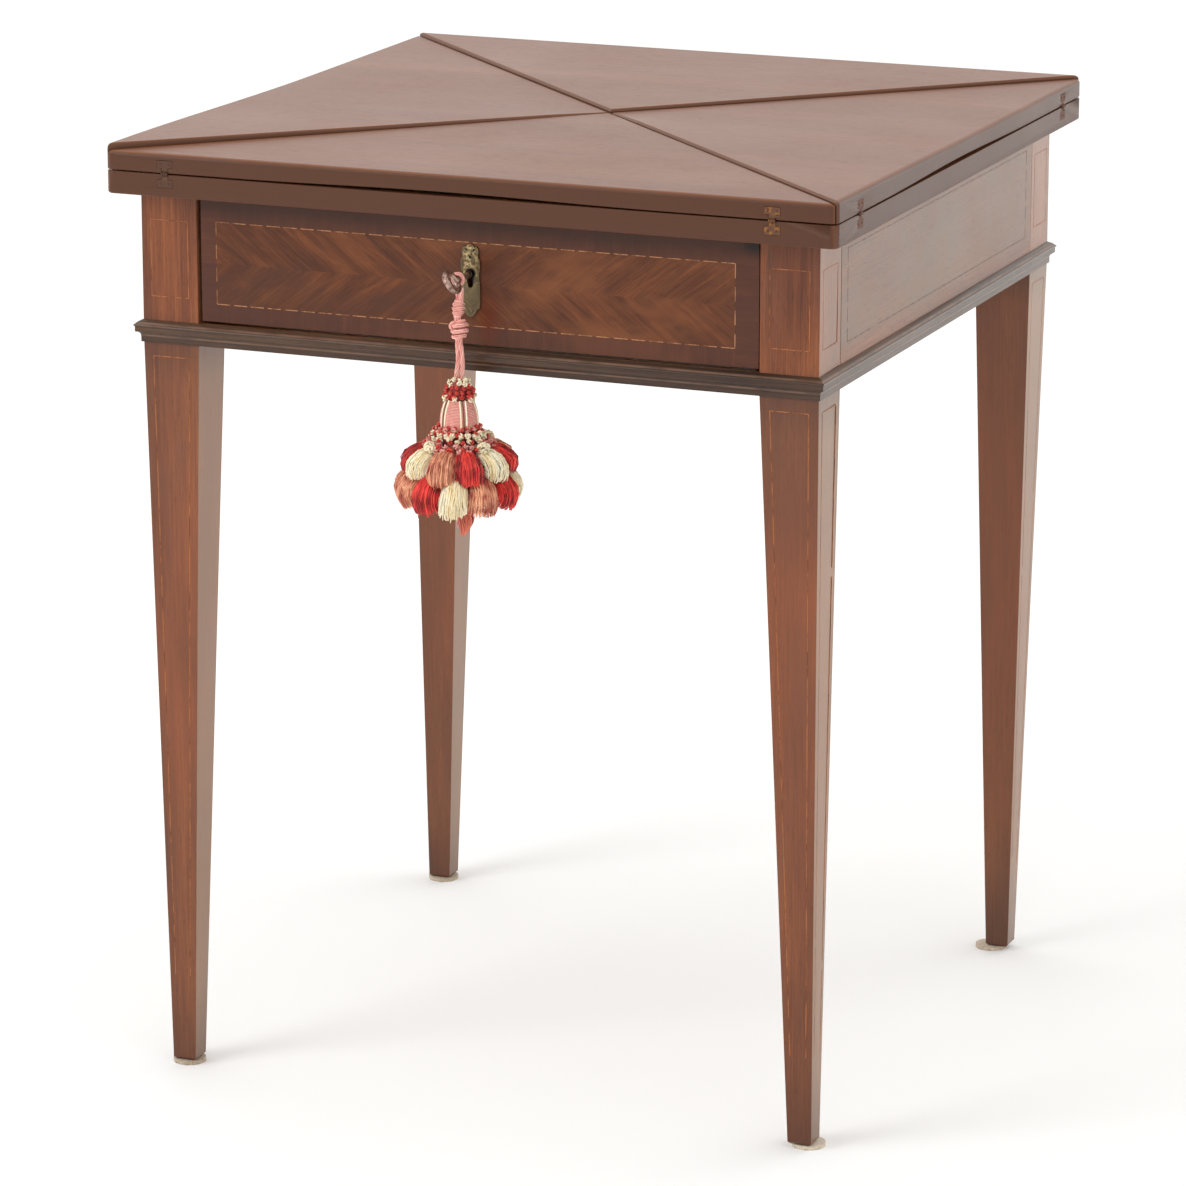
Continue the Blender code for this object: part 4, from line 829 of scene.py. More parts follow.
def lines_mesh(name, lines):
    """A scratch object of bare edges, one run for each line of points."""
    mesh = bpy.data.meshes.new(name)
    points, edges = [], []
    for line in lines:
        first = len(points)
        points += [tuple(point) for point in line]
        edges += [(first + step, first + step + 1) for step in range(len(line) - 1)]
    mesh.from_pydata(points, edges, [])
    scratch = bpy.data.objects.new(name, mesh)
    scene.collection.objects.link(scratch)
    return scratch


def grow(name, scratch, tree, inputs):
    """Run a geometry tree on a scratch object and keep the result as a plain mesh object."""
    modifier = scratch.modifiers.new(tree.name, "NODES")
    modifier.node_group = tree
    for item in tree.interface.items_tree:
        if item.in_out == "INPUT" and item.name in inputs:
            modifier[item.identifier] = inputs[item.name]
    mesh = applied(scratch)
    mesh.name = name
    bpy.data.objects.remove(scratch)
    piece = bpy.data.objects.new(name, mesh)
    scene.collection.objects.link(piece)
    return piece


# %% Frame the drawer with dashes
DASH = 0.0110
DASH_GAP = 0.0030
STRING_WIDTH = 0.0007
STRIP_THICKNESS = 0.0004
STRIP_PROUD = 0.00006


def string_finish(name, pale, dark):
    """Pale inlay wood gone orange under the polish, rubbed and dirty in places."""
    material, tree, shader, place = new_finish(name, roughness=0.42, ior=POLISH_IOR)
    dirt = stretched_noise(tree, place, (170.0, 170.0, 60.0), 5.0, 0.65)
    tree.links.new(ramp(tree, dirt, ((0.40, dark), (0.56, pale))), shader.inputs["Base Color"])
    bump(tree, shader, dirt, 0.2, 0.0002)
    return material


def strips(name, body, lines, facing, pitch, length, lost, seed, material):
    """Inlay along straight lines on a face: each line is trimmed so that its end strips stay on it."""
    trimmed = []
    sunk = Vector(facing) * (STRIP_PROUD - STRIP_THICKNESS / 2)
    for start, stop in lines:
        along = (stop - start).normalized() * length / 2
        trimmed.append((start + along + sunk, stop - along + sunk))
    inputs = {"Pitch": pitch, "Strip Length": length, "Strip Width": STRING_WIDTH, "Lost Share": lost,
              "Strip Thickness": STRIP_THICKNESS, "Facing": facing, "Seed": seed, "Material": material}
    carried(grow(name, lines_mesh(name, trimmed), strip_tree, inputs), body)


def frame_lines(low, high):
    """The four sides of an upright rectangle between two corners."""
    over_low, under_high = Vector((low[0], low[1], high[2])), Vector((high[0], high[1], low[2]))
    corners = [Vector(low), over_low, Vector(high), under_high]
    return [(corners[step], corners[(step + 1) % 4]) for step in range(4)]


strip_tree = make_strip_tree()
dash_finish = string_finish("dashed_inlay", colour(178, 124, 84), colour(122, 76, 52))
dark_dash_finish = string_finish("dark_dashed_inlay", colour(100, 76, 64), colour(70, 50, 42))
line_finish = string_finish("stringing", colour(168, 102, 58), colour(112, 62, 38))
strips("drawer_dashes", "drawer", frame_lines(inlay_low, inlay_high), (0.0, -1.0, 0.0),
       DASH + DASH_GAP, DASH, 0.02, 4, dash_finish)

# %% String the legs
STRING_PIECE = 0.0075
STRING_PITCH = STRING_PIECE * 0.97
PANEL_INSET = 0.0078
PANEL_TOP_DROP = 0.0216
PANEL_FOOT_RISE = 0.0190
LEG_LINE_TOP = 0.580
LEG_LINE_FOOT = 0.075
LEG_LINE_INSET = 0.0080
TOE_INSET = LEG_LINE_INSET * 0.62


def section(name, level):
    """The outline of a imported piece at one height, as its low and high corners."""
    shape = welded(name)
    on_cut = cut(shape, (0.0, 0.0, level), (0.0, 0.0, 1.0))
    places = [item.co.copy() for item in on_cut if isinstance(item, bmesh.types.BMVert)]
    shape.free()
    low = Vector((min(p.x for p in places), min(p.y for p in places), level))
    high = Vector((max(p.x for p in places), max(p.y for p in places), level))
    return low, high


def face_point(low, high, outward, side, inset):
    """A place on one outer face of a leg's section: inset from its low or its high edge."""
    axis = 1 if outward[1] else 0
    point = Vector(low)
    point[axis] = low[axis] if outward[axis] < 0 else high[axis]
    point[1 - axis] = low[1 - axis] + inset if side == 0 else high[1 - axis] - inset
    return point


def leg_lines(name, outward, panel_low, panel_high):
    """The stringing on one outer face of a leg: a panel on the post, a head line and two lines down."""
    def both_edges(level, inset):
        return [face_point(*section(name, level), outward, side, inset) for side in (0, 1)]

    high, low = both_edges(panel_high, PANEL_INSET), both_edges(panel_low, PANEL_INSET)
    start, stop = both_edges(LEG_LINE_TOP, LEG_LINE_INSET), both_edges(LEG_LINE_FOOT, TOE_INSET)
    panel = [(low[0], high[0]), (high[0], high[1]), (high[1], low[1]), (low[1], low[0])]
    return panel, [(start[0], start[1])], [(start[0], stop[0]), (start[1], stop[1])]


post_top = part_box("leg_front_left")[1].z
for index, corner in enumerate(CORNERS):
    front_or_back = (0.0, -1.0, 0.0) if "front" in corner else (0.0, 1.0, 0.0)
    left_or_right = (-1.0, 0.0, 0.0) if "left" in corner else (1.0, 0.0, 0.0)
    for turn, outward in enumerate((front_or_back, left_or_right)):
        panel, head, down = leg_lines("leg_" + corner, outward, moulding_high.z + PANEL_FOOT_RISE,
                                      post_top - PANEL_TOP_DROP)
        for part, lines, lost, seed in (("post", panel, 0.04, 10), ("head", head, 0.0, 20),
                                        ("down", down, 0.03, 30)):
            strips(f"string_{corner}_{turn}_{part}", "frame", lines, outward, STRING_PITCH, STRING_PIECE,
                   lost, seed + index, line_finish)

# %% Frame the rails
RAIL_INSET = 0.0145


def rail_frame(name, outward):
    """A dashed rectangle on a rail between the posts."""
    low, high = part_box(name)
    axis = 0 if outward[0] else 1
    level = high[axis] if outward[axis] > 0 else low[axis]
    along = 1 - axis
    reach = [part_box("leg_front_left")[1][along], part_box("leg_back_right")[0][along]]
    low_corner, high_corner = Vector(low), Vector(high)
    low_corner[axis] = high_corner[axis] = level
    low_corner[along] = reach[0] + RAIL_INSET
    high_corner[along] = reach[1] - RAIL_INSET
    low_corner.z = moulding_high.z + RAIL_INSET
    high_corner.z = high.z - RAIL_INSET
    return frame_lines(low_corner, high_corner)


for name, outward in (("rail_right", (1.0, 0.0, 0.0)), ("rail_left", (-1.0, 0.0, 0.0)),
                      ("rail_back", (0.0, 1.0, 0.0))):
    strips("dashes_" + name, "frame", rail_frame(name, outward), outward, DASH + DASH_GAP, DASH, 0.04, 7,
           dark_dash_finish)
print("Inlay laid")

# %% [markdown]
# ## Metal
#
# Three metals are on the table: brass hinges let into the edges and stained over with the wood, the aged
# brass of the escutcheon, and the steel of the key and the lock. Metal is told from wood by its shader
# value Metallic, and old metal from new by patches where a brown or green film has taken the shine away,
# so the same noise darkens the colour, lowers Metallic and raises the roughness.

# %% Brass and steel finishes
# painted shade of the keyhole, laid on the plate round the hole and the slot: its reaches and colour
HOLE_SHADE_REACH = 0.0044
SLOT_SHADE_REACH = 0.0030
SLOT_SHADE_DROP = 0.0062
HOLE_SHADE_COLOUR = colour(24, 20, 17)
SHANK_SOOT_FROM = 0.010
SHANK_SOOT_FULL = 0.003
loop_low, loop_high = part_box("tassel_loop")
scutcheon_low, scutcheon_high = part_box("escutcheon")
key_axis = Vector(((scutcheon_low.x + scutcheon_high.x) / 2, scutcheon_low.y,
                   (loop_low.z + loop_high.z) / 2))


def painted_hole_shade(tree, shade, aside, up, inner, outer):
    """Painted shade round a hole, full within the inner radius and gone at the outer one."""
    reach = maths(tree, "SQRT", maths(tree, "ADD", product(tree, aside, aside), product(tree, up, up)))
    return mix(tree, spread(tree, reach, inner, outer, 0.94, 0.0), shade, HOLE_SHADE_COLOUR)


def greened(tree, place, shade):
    """The foot and the edges of the escutcheon, which hands pass over less, have gone a dull green, and the
    keyhole, a round hole with a slot below it, has painted shade round it, wider than the cut hole."""
    x, y, z = split(tree, place)
    half_width, height = (scutcheon_high.x - scutcheon_low.x) / 2, scutcheon_high.z - scutcheon_low.z
    aside = apart(tree, x, key_axis.x)
    edge = spread(tree, aside, half_width * 0.55, half_width * 0.92, 0.0, 0.75)
    foot = spread(tree, z, scutcheon_low.z + height * 0.34, scutcheon_low.z + height * 0.66, 0.85, 0.0)
    shade = mix(tree, maths(tree, "MAXIMUM", edge, foot), shade, colour(98, 84, 60))
    up = maths(tree, "SUBTRACT", z, key_axis.z)
    shade = painted_hole_shade(tree, shade, aside, up, HOLE_SHADE_REACH * 0.75, HOLE_SHADE_REACH * 1.15)
    past_slot = maths(tree, "MAXIMUM", up, maths(tree, "SUBTRACT", -SLOT_SHADE_DROP, up))
    past_slot = maths(tree, "MAXIMUM", past_slot, 0.0)
    return painted_hole_shade(tree, shade, aside, past_slot, SLOT_SHADE_REACH * 0.8, SLOT_SHADE_REACH * 1.1)


def metal(name, bright, film, film_start, film_end, gloss=0.3, patch=160.0, change=None):
    """Bright metal under a film that covers more of it as film_start falls."""
    material, tree, shader, place = new_finish(name, roughness=gloss)
    patches = noise(tree, place, 4.0, 0.6, scale=patch)
    covered = spread(tree, patches, film_start, film_end)
    shade = mix(tree, covered, bright, film)
    if change:
        shade = change(tree, place, shade)
    tree.links.new(shade, shader.inputs["Base Color"])
    tree.links.new(maths(tree, "MULTIPLY_ADD", covered, -0.75, 1.0), shader.inputs["Metallic"])
    tree.links.new(maths(tree, "MULTIPLY_ADD", covered, 0.22, gloss), shader.inputs["Roughness"])
    scratches = stretched_noise(tree, place, (900.0, 900.0, 260.0), 2.0)
    bump(tree, shader, maths(tree, "ADD", scratches, covered), 0.15, 0.0001)
    return material


def sooty_shank(tree, place, shade):
    """The shank is black with old grease where it enters the lock."""
    sooty = spread(tree, split(tree, place)[1], scutcheon_low.y - SHANK_SOOT_FROM,
                   scutcheon_low.y - SHANK_SOOT_FULL, 0.0, 0.92)
    return mix(tree, sooty, shade, colour(30, 25, 22))


# %% Flatten the bow of the key
BOW_LENGTH = 0.019
BOW_FULLER = 1.32
BOW_TRIALS = 36


def bow_normal(ring, centre):
    """The way the ring's flat faces: level, and square to where its points are farthest from the shank."""
    best, facing = None, None
    for step in range(BOW_TRIALS):
        angle = math.pi * step / BOW_TRIALS
        normal = Vector((math.cos(angle), math.sin(angle), 0.0))
        reach = max(abs((vert.co - centre).dot(normal)) for vert in ring)
        if best is None or reach < best:
            best, facing = reach, normal
    return facing


def flatten_bow(shape):
    """The bow was hammered from round wire: its ring is a little deeper than it is thick."""
    low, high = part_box("key")
    ring = [vert for vert in shape.verts if vert.co.y < low.y + BOW_LENGTH]
    centre = Vector(((low.x + high.x) / 2, low.y + BOW_LENGTH / 2, (low.z + high.z) / 2))
    normal = bow_normal(ring, centre)
    for vert in ring:
        away = (vert.co - centre).dot(normal)
        vert.co += normal * away * (BOW_FULLER - 1)


# %% Finish the metal
stained_brass = metal("stained_brass", colour(136, 96, 58), colour(88, 58, 42), 0.16, 0.42, 0.50)
brown_brass = metal("brown_brass", colour(150, 108, 84), colour(114, 82, 70), 0.16, 0.46, 0.66)
rubbed_brass = metal("rubbed_brass", colour(158, 108, 58), colour(98, 62, 44), 0.30, 0.56, 0.42, 380.0)
aged_brass = metal("aged_brass", colour(192, 168, 124), colour(92, 76, 48), 0.38, 0.60, 0.42, 360.0,
                   greened)
key_steel = metal("key_steel", colour(186, 156, 142), colour(104, 72, 60), 0.44, 0.66, 0.32, 300.0,
                  sooty_shank)
lock_steel = metal("lock_steel", colour(150, 148, 144), colour(86, 74, 64), 0.42, 0.62, 0.38)


def shadowy():
    """Painted shade for a hole: the look down it, nearly black, with a little dust in it."""
    material, tree, shader, place = new_finish("dark_hole", roughness=0.85)
    dust = noise(tree, place, 3.0, scale=700.0)
    tree.links.new(ramp(tree, dust, ((0.4, colour(11, 9, 8)), (0.75, colour(38, 31, 25)))),
                   shader.inputs["Base Color"])
    return material


dark_hole = shadowy()

for name, material, slot_name in (("lock_case", lock_steel, "steel"), ("lock_bolt", lock_steel, "steel"),
                                  ("pivot_bolt", lock_steel, "steel"), ("escutcheon", aged_brass, "brass")):
    dress(name, material)
dress("key", key_steel, change=flatten_bow)
hinge_names = sorted(name for name in nodes if name.startswith("hinge_"))
for name in hinge_names:
    finish = brown_brass if "hinge_right" in name else stained_brass
    dress(name, rubbed_brass if "hinge_front_b" in name else finish)

# %% [markdown]
# ## Hinge screws
#
# Each hinge plate is held by two countersunk screws in its head. Sixteen plates make thirty-two screws,
# so one screw head is modelled, as a domed disc with a slot, and a geometry tree sets copies of it out on
# points. A point carries the direction that its screw faces, and each copy is spun by its own random
# turn, as real screws stop wherever they are tight.

# %% A tree that sets out copies on points
def make_copies_tree():
    tree, given, end = new_tree("set_out_copies", (
        ("Template", "Object", None), ("Smallest", "Float", 1.0), ("Largest", "Float", 1.0),
        ("Spin", "Float", math.tau), ("Seed", "Int", 1), ("Material", "Material", None)))
    shape = node(tree, "GeometryNodeObjectInfo", {"Object": given["Template"], "As Instance": True},
                 output="Geometry")
    outward = node(tree, "GeometryNodeInputNamedAttribute", {"Name": "outward"}, data_type="FLOAT_VECTOR")
    facing = node(tree, "FunctionNodeAlignRotationToVector", {"Vector": outward}, axis="Z")
    angle = node(tree, "FunctionNodeRandomValue", {2: 0.0, 3: given["Spin"], "Seed": given["Seed"]},
                 output=1, data_type="FLOAT")
    spin = node(tree, "FunctionNodeAxisAngleToRotation", {"Axis": (0.0, 0.0, 1.0), "Angle": angle})
    turned = node(tree, "FunctionNodeRotateRotation", {0: facing, 1: spin}, rotation_space="LOCAL")
    size = node(tree, "FunctionNodeRandomValue", {2: given["Smallest"], 3: given["Largest"],
                                                  "Seed": given["Seed"]}, output=1, data_type="FLOAT")
    copies = node(tree, "GeometryNodeInstanceOnPoints",
                  {"Points": given["Geometry"], "Instance": shape, "Rotation": turned, "Scale": size})
    finished(tree, copies, given["Material"], end)
    return tree


def points_mesh(name, places):
    """A scratch object of loose points; each place is (point, outward direction)."""
    mesh = bpy.data.meshes.new(name)
    mesh.from_pydata([tuple(point) for point, outward in places], [], [])
    facing = mesh.attributes.new("outward", "FLOAT_VECTOR", "POINT")
    facing.data.foreach_set("vector", [value for point, outward in places for value in outward])
    scratch = bpy.data.objects.new(name, mesh)
    scene.collection.objects.link(scratch)
    return scratch


def template_object(name, shape):
    """A shape to copy: a scratch object at the origin, smooth, to be removed once it has been used."""
    mesh = bpy.data.meshes.new(name)
    shape.to_mesh(mesh)
    shape.free()
    mesh.shade_smooth()
    mesh.set_sharp_from_angle(angle=SHARP_ANGLE)
    template = bpy.data.objects.new(name, mesh)
    scene.collection.objects.link(template)
    return template


copies_tree = make_copies_tree()

# %% Model one screw head
SCREW_RADIUS = 0.00095
SCREW_DOME = 0.00022
SCREW_SIDES = 14
DOME_SHARE = 0.86
SLOT_WIDTH_SHARE = 0.22
SLOT_DEPTH_SHARE = 0.8


def screw_head():
    """A domed disc with a slot across it, pointing up, its rim just below the plate's face."""
    shape = bmesh.new()
    half_slot = SCREW_RADIUS * SLOT_WIDTH_SHARE
    floor = SCREW_DOME * (1 - SLOT_DEPTH_SHARE)
    for side in (1, -1):
        rim, start = [], math.asin(half_slot / SCREW_RADIUS)
        for step in range(SCREW_SIDES // 2 + 1):
            angle = start + (math.pi - 2 * start) * step / (SCREW_SIDES // 2)
            rim.append((SCREW_RADIUS * math.cos(angle), side * SCREW_RADIUS * math.sin(angle)))
        low = [shape.verts.new((x, y, -SCREW_DOME)) for x, y in rim]
        high = [shape.verts.new((x * DOME_SHARE, max(abs(y) * DOME_SHARE, half_slot) * side, SCREW_DOME))
                for x, y in rim]
        for step in range(len(rim)):
            after = (step + 1) % len(rim)
            shape.faces.new((low[step], low[after], high[after], high[step]))
        shape.faces.new(high)
    slot = bmesh.ops.create_grid(shape, x_segments=1, y_segments=1, size=1.0)["verts"]
    for vert in slot:
        vert.co = Vector((vert.co.x * SCREW_RADIUS * 0.95, vert.co.y * half_slot * 1.2, floor))
    bmesh.ops.recalc_face_normals(shape, faces=shape.faces)
    return template_object("screw_head", shape)


# %% Set the screws into the hinge plates
SCREW_SPACING = 0.0034
SCREW_HEAD_INSET = 0.0030


def screw_places(plate):
    """Two places on the head of a hinge plate, on its outer face."""
    low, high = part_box(plate)
    middle = (low + high) / 2
    side = plate.split("_")[1]
    axis = 1 if side in SIDES_ALONG_X else 0
    sign = -1.0 if side in ("front", "left") else 1.0
    outward = Vector((0.0, 0.0, 0.0))
    outward[axis] = sign
    face = swivel_y - half_top if side == "front" else swivel_y + half_top
    face = face if axis == 1 else sign * half_top
    height = high.z - SCREW_HEAD_INSET if plate.endswith("leaf") else low.z + SCREW_HEAD_INSET
    places = []
    for shift in (-SCREW_SPACING, SCREW_SPACING):
        point = Vector(middle)
        point.z = height
        point[axis] = face + sign * SCREW_DOME * 0.2
        point[1 - axis] += shift
        places.append((point, outward))
    return places


screw = screw_head()
screws_of = {}
for plate in hinge_names:
    screws_of.setdefault(body_of_node(plate), []).extend(screw_places(plate))
for body, places in screws_of.items():
    inputs = {"Template": screw, "Seed": 3, "Material": stained_brass}
    name = "screws_" + body
    carried(grow(name, points_mesh(name, places), copies_tree, inputs), body)
bpy.data.objects.remove(screw)
print("Screws on", sorted(screws_of))

# %% [markdown]
# ## The escutcheon's relief
#
# The brass plate round the keyhole was cast with a scroll at its head, an arch over the keyhole, a rim,
# and a little leaf at its pointed foot. Casting can be sculpted, but this relief is all fine raised
# lines, so each is drawn as a line of points and given a round body. The tree that does this serves the
# yarn and cords of the tassel as well: it can lay several strands round a line, as a ropemaker does, and
# can shake them a little.

# %% A tree that lays strands along lines
def make_strand_tree():
    tree, given, end = new_tree("lay_strands", (
        ("Strands", "Int", 1), ("Strand Radius", "Float", 0.0005), ("Lay Radius", "Float", 0.0),
        ("Turns Per Metre", "Float", 0.0), ("Sides", "Int", 6), ("Shake", "Float", 0.0),
        ("Shake Scale", "Float", 120.0), ("Material", "Material", None)))
    line = node(tree, "GeometryNodeMeshToCurve", {0: given["Geometry"]})
    copies = tree.nodes.new("GeometryNodeDuplicateElements")
    copies.domain = "SPLINE"
    tree.links.new(line, copies.inputs["Geometry"])
    tree.links.new(given["Strands"], copies.inputs["Amount"])
    share = maths(tree, "DIVIDE", copies.outputs["Duplicate Index"], given["Strands"])
    length = node(tree, "GeometryNodeSplineParameter", output="Length")
    turns = maths(tree, "MULTIPLY_ADD", length, given["Turns Per Metre"], share)
    angle = product(tree, turns, math.tau)
    normal = tree.nodes.new("GeometryNodeInputNormal").outputs[0]
    tangent = tree.nodes.new("GeometryNodeInputTangent").outputs[0]
    beside = vector_maths(tree, "CROSS_PRODUCT", tangent, normal)
    out = scaled(tree, normal, product(tree, maths(tree, "COSINE", angle), given["Lay Radius"]))
    over = scaled(tree, beside, product(tree, maths(tree, "SINE", angle), given["Lay Radius"]))
    place = tree.nodes.new("GeometryNodeInputPosition").outputs[0]
    waves = node(tree, "ShaderNodeTexNoise", {"Vector": place, "Scale": given["Shake Scale"]},
                 output="Color")
    shake = scaled(tree, vector_maths(tree, "SUBTRACT", waves, (0.5, 0.5, 0.5)), given["Shake"])
    offset = vector_maths(tree, "ADD", vector_maths(tree, "ADD", out, over), shake)
    laid_out = node(tree, "GeometryNodeSetPosition", {"Geometry": copies.outputs["Geometry"],
                                                      "Offset": offset})
    chance = node(tree, "FunctionNodeRandomValue", {"Seed": 5}, output=1, data_type="FLOAT")
    tone = node(tree, "GeometryNodeFieldOnDomain", {0: chance}, domain="CURVE", data_type="FLOAT")
    toned = node(tree, "GeometryNodeStoreNamedAttribute",
                 {"Geometry": laid_out, "Name": "tone", "Value": tone}, data_type="FLOAT", domain="POINT")
    ring = node(tree, "GeometryNodeCurvePrimitiveCircle", {"Resolution": given["Sides"],
                                                           "Radius": given["Strand Radius"]})
    body = node(tree, "GeometryNodeCurveToMesh", {"Curve": toned, "Profile Curve": ring,
                                                  "Fill Caps": True})
    smooth = node(tree, "GeometryNodeSetShadeSmooth", {0: body})
    finished(tree, smooth, given["Material"], end)
    return tree


strand_tree = make_strand_tree()

# %% Draw the lines of the relief
SCROLL_RADIUS = 0.0021
SCROLL_CLOSES = 0.62
scutcheon_width = scutcheon_high.x - scutcheon_low.x


def arc_points(centre, radius, start, stop, count):
    """Points on an arc in the plane of the drawer front: angles in turns from the right, anticlockwise."""
    angles = [math.tau * (start + (stop - start) * step / count) for step in range(count + 1)]
    return [Vector((centre.x + radius * math.cos(a), centre.y, centre.z + radius * math.sin(a)))
            for a in angles]


def on_plate(across, up):
    """A place on the plate: across as a share of its half width, up in metres from the key's axis."""
    return Vector((key_axis.x + across * scutcheon_width / 2, scutcheon_low.y, key_axis.z + up))


def mirrored(points):
    """The same points on the other side of the plate."""
    return [Vector((2 * key_axis.x - point.x, point.y, point.z)) for point in points]


def spiral(centre, radius, turns, start, count=22):
    """Points on a scroll that closes in on its centre as it turns."""
    points = []
    for step in range(count + 1):
        share = step / count
        angle = math.tau * (start + turns * share)
        reach = radius * (1 - SCROLL_CLOSES * share)
        aside, up = reach * math.cos(angle), reach * math.sin(angle)
        points.append(Vector((centre.x + aside, centre.y, centre.z + up)))
    return points


def relief_lines():
    """Every raised line of the casting, and the eye of its scroll."""
    top = scutcheon_high.z - key_axis.z
    foot = scutcheon_low.z - key_axis.z
    scroll_centre = on_plate(0.42, top * 0.80)
    scroll = spiral(scroll_centre, SCROLL_RADIUS, 1.4, 0.62)
    arch = arc_points(on_plate(0.0, top * 0.10), scutcheon_width * 0.40, 0.0, 0.5, 14)
    inner_arch = arc_points(on_plate(0.0, top * 0.10), scutcheon_width * 0.30, 0.02, 0.48, 12)
    rim = [on_plate(0.86, top * 0.55), on_plate(0.88, top * 0.15), on_plate(0.88, foot * 0.30),
           on_plate(0.86, foot * 0.58), on_plate(0.66, foot * 0.68), on_plate(0.34, foot * 0.80),
           on_plate(0.06, foot * 0.93)]
    leaf = [on_plate(0.0, foot * 0.66), on_plate(0.30, foot * 0.60), on_plate(0.58, foot * 0.64)]
    lobe = arc_points(on_plate(0.0, top * 0.56), scutcheon_width * 0.13, -0.25, 0.75, 12)
    brow = [on_plate(0.0, top * 0.96), on_plate(0.24, top * 0.90), on_plate(0.30, top * 0.74),
            on_plate(0.10, top * 0.66)]
    feather = [on_plate(0.10, foot * 0.78), on_plate(0.34, foot * 0.70)]
    lines = [arch, inner_arch, lobe]
    for line in (scroll, rim, leaf, brow, feather):
        lines += [line, mirrored(line)]
    return lines, scroll_centre


# %% Raise the relief on the escutcheon
RELIEF_RADIUS = 0.00036
RELIEF_SIDES = 6
EYE_RADIUS = 0.0011
EYE_SIDES = 12
relief, eye = relief_lines()
inputs = {"Strands": 1, "Strand Radius": RELIEF_RADIUS, "Sides": RELIEF_SIDES, "Material": aged_brass}
carried(grow("escutcheon_relief", lines_mesh("relief", relief), strand_tree, inputs), "drawer")

# painted shade: dark discs stand for the holes in the casting, not cut holes
painted_holes = bmesh.new()
for centre in (eye, mirrored([eye])[0], on_plate(0.0, (scutcheon_high.z - key_axis.z) * 0.56)):
    ring = bmesh.ops.create_circle(painted_holes, cap_ends=True, radius=EYE_RADIUS, segments=EYE_SIDES)["verts"]
    for vert in ring:
        vert.co = centre + Vector((vert.co.x, -RELIEF_RADIUS / 4, vert.co.y))
place_piece("escutcheon_eyes", painted_holes, "drawer", [dark_hole])
print("Relief of", len(relief), "lines")

# %% [markdown]
# ## The cord
#
# A cord is a fixed length of something flexible. This one is silk, doubled: it passes round the key's
# shank as a loop, is knotted twice to hold it there, and runs down through the tassel, which is built
# round it. Its line is a few points chosen from the photograph, close to a plumb line because it hangs,
# made smooth by a spline through them. The strands are laid round that line by the tree above, five yarns
# to each leg of the doubled cord.

# %% A finish for silk yarn
def yarn(name, dark, bright, gloss=0.5, sheen=0.3, painted_shading=0.0):
    """Silk yarn: each strand has a tone of its own that shifts along it, and fine plies cross it. Painted
    shading adds darker and paler stretches, as broad as a finger, for the shade in the tufts."""
    material, tree, shader, place = new_finish(name, roughness=gloss)
    shader.inputs["Sheen Weight"].default_value = sheen
    shader.inputs["Sheen Roughness"].default_value = 0.4
    shades = stretched_noise(tree, place, (420.0, 420.0, 130.0), 3.0)
    fibres = noise(tree, place, 3.0, scale=2600.0)
    strand = node(tree, "ShaderNodeAttribute", output="Fac", attribute_name="tone")
    tone = maths(tree, "MULTIPLY_ADD", fibres, 0.35, product(tree, shades, 0.30))
    tone = maths(tree, "MULTIPLY_ADD", strand, 0.40, tone)
    # painted shading: broad darker and paler stretches
    broad = maths(tree, "SUBTRACT", noise(tree, place, 2.0, scale=95.0), 0.5)
    tone = maths(tree, "MULTIPLY_ADD", broad, painted_shading, tone)
    tree.links.new(ramp(tree, tone, ((0.30, dark), (0.74, bright))), shader.inputs["Base Color"])
    bump(tree, shader, fibres, 0.5, 0.0003)
    return material


pink = yarn("pink_silk", colour(206, 108, 98), colour(255, 196, 182))
crimson = yarn("crimson_silk", colour(122, 0, 10), colour(255, 68, 58), gloss=0.42, sheen=0.14,
               painted_shading=1.0)
scarlet = yarn("scarlet_silk", colour(150, 6, 12), colour(255, 88, 70), gloss=0.42, sheen=0.14)
cream = yarn("cream_silk", colour(250, 222, 162), colour(255, 254, 234))
salmon = yarn("salmon_silk", colour(170, 54, 36), colour(255, 188, 146), painted_shading=1.1)
coral = yarn("coral_silk", colour(190, 58, 42), colour(255, 150, 118))
umber = yarn("umber_silk", colour(74, 52, 34), colour(120, 90, 60))

# %% Draw the line of the cord
CORD_STEPS = 12
# how far the hanging stretch sways aside, at shares of its way down
CORD_SWAY = ((0.0, 0.0014), (0.14, 0.0012), (0.32, -0.0008), (0.44, 0.0012), (0.57, 0.0004),
             (0.80, 0.0014), (1.0, 0.0004))
cord_low, cord_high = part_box("tassel_cord")
head_low, head_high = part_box("tassel_head")
skirt_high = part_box("tassel_skirt")[1]
plumb = Vector(((head_low.x + head_high.x) / 2, (head_low.y + head_high.y) / 2, 0.0))


def smooth_line(points, steps):
    """A smooth line through points: each stretch between two of them is cut into steps."""
    ends = [points[0] * 2 - points[1]] + list(points) + [points[-1] * 2 - points[-2]]
    line = []
    for index in range(1, len(ends) - 2):
        before, start, stop, after = ends[index - 1:index + 3]
        for step in range(steps):
            t = step / steps
            line.append(0.5 * (2 * start + (stop - before) * t
                               + (2 * before - 5 * start + 4 * stop - after) * t * t
                               + (3 * start - before - 3 * stop + after) * t * t * t))
    line.append(points[-1].copy())
    return line


def between(table, share, ease=smooth_step):
    """A value read from a table of (share, value), blended between its rows."""
    for (low, first), (high, second) in zip(table, table[1:]):
        if share <= high:
            return first + (second - first) * ease((share - low) / (high - low))
    return table[-1][1]


def cord_place(share):
    """A place on the hanging stretch, from the loop at 0 to the head at 1."""
    drop = cord_high.z - head_high.z
    return Vector((plumb.x + between(CORD_SWAY, share), plumb.y, cord_high.z - drop * share))


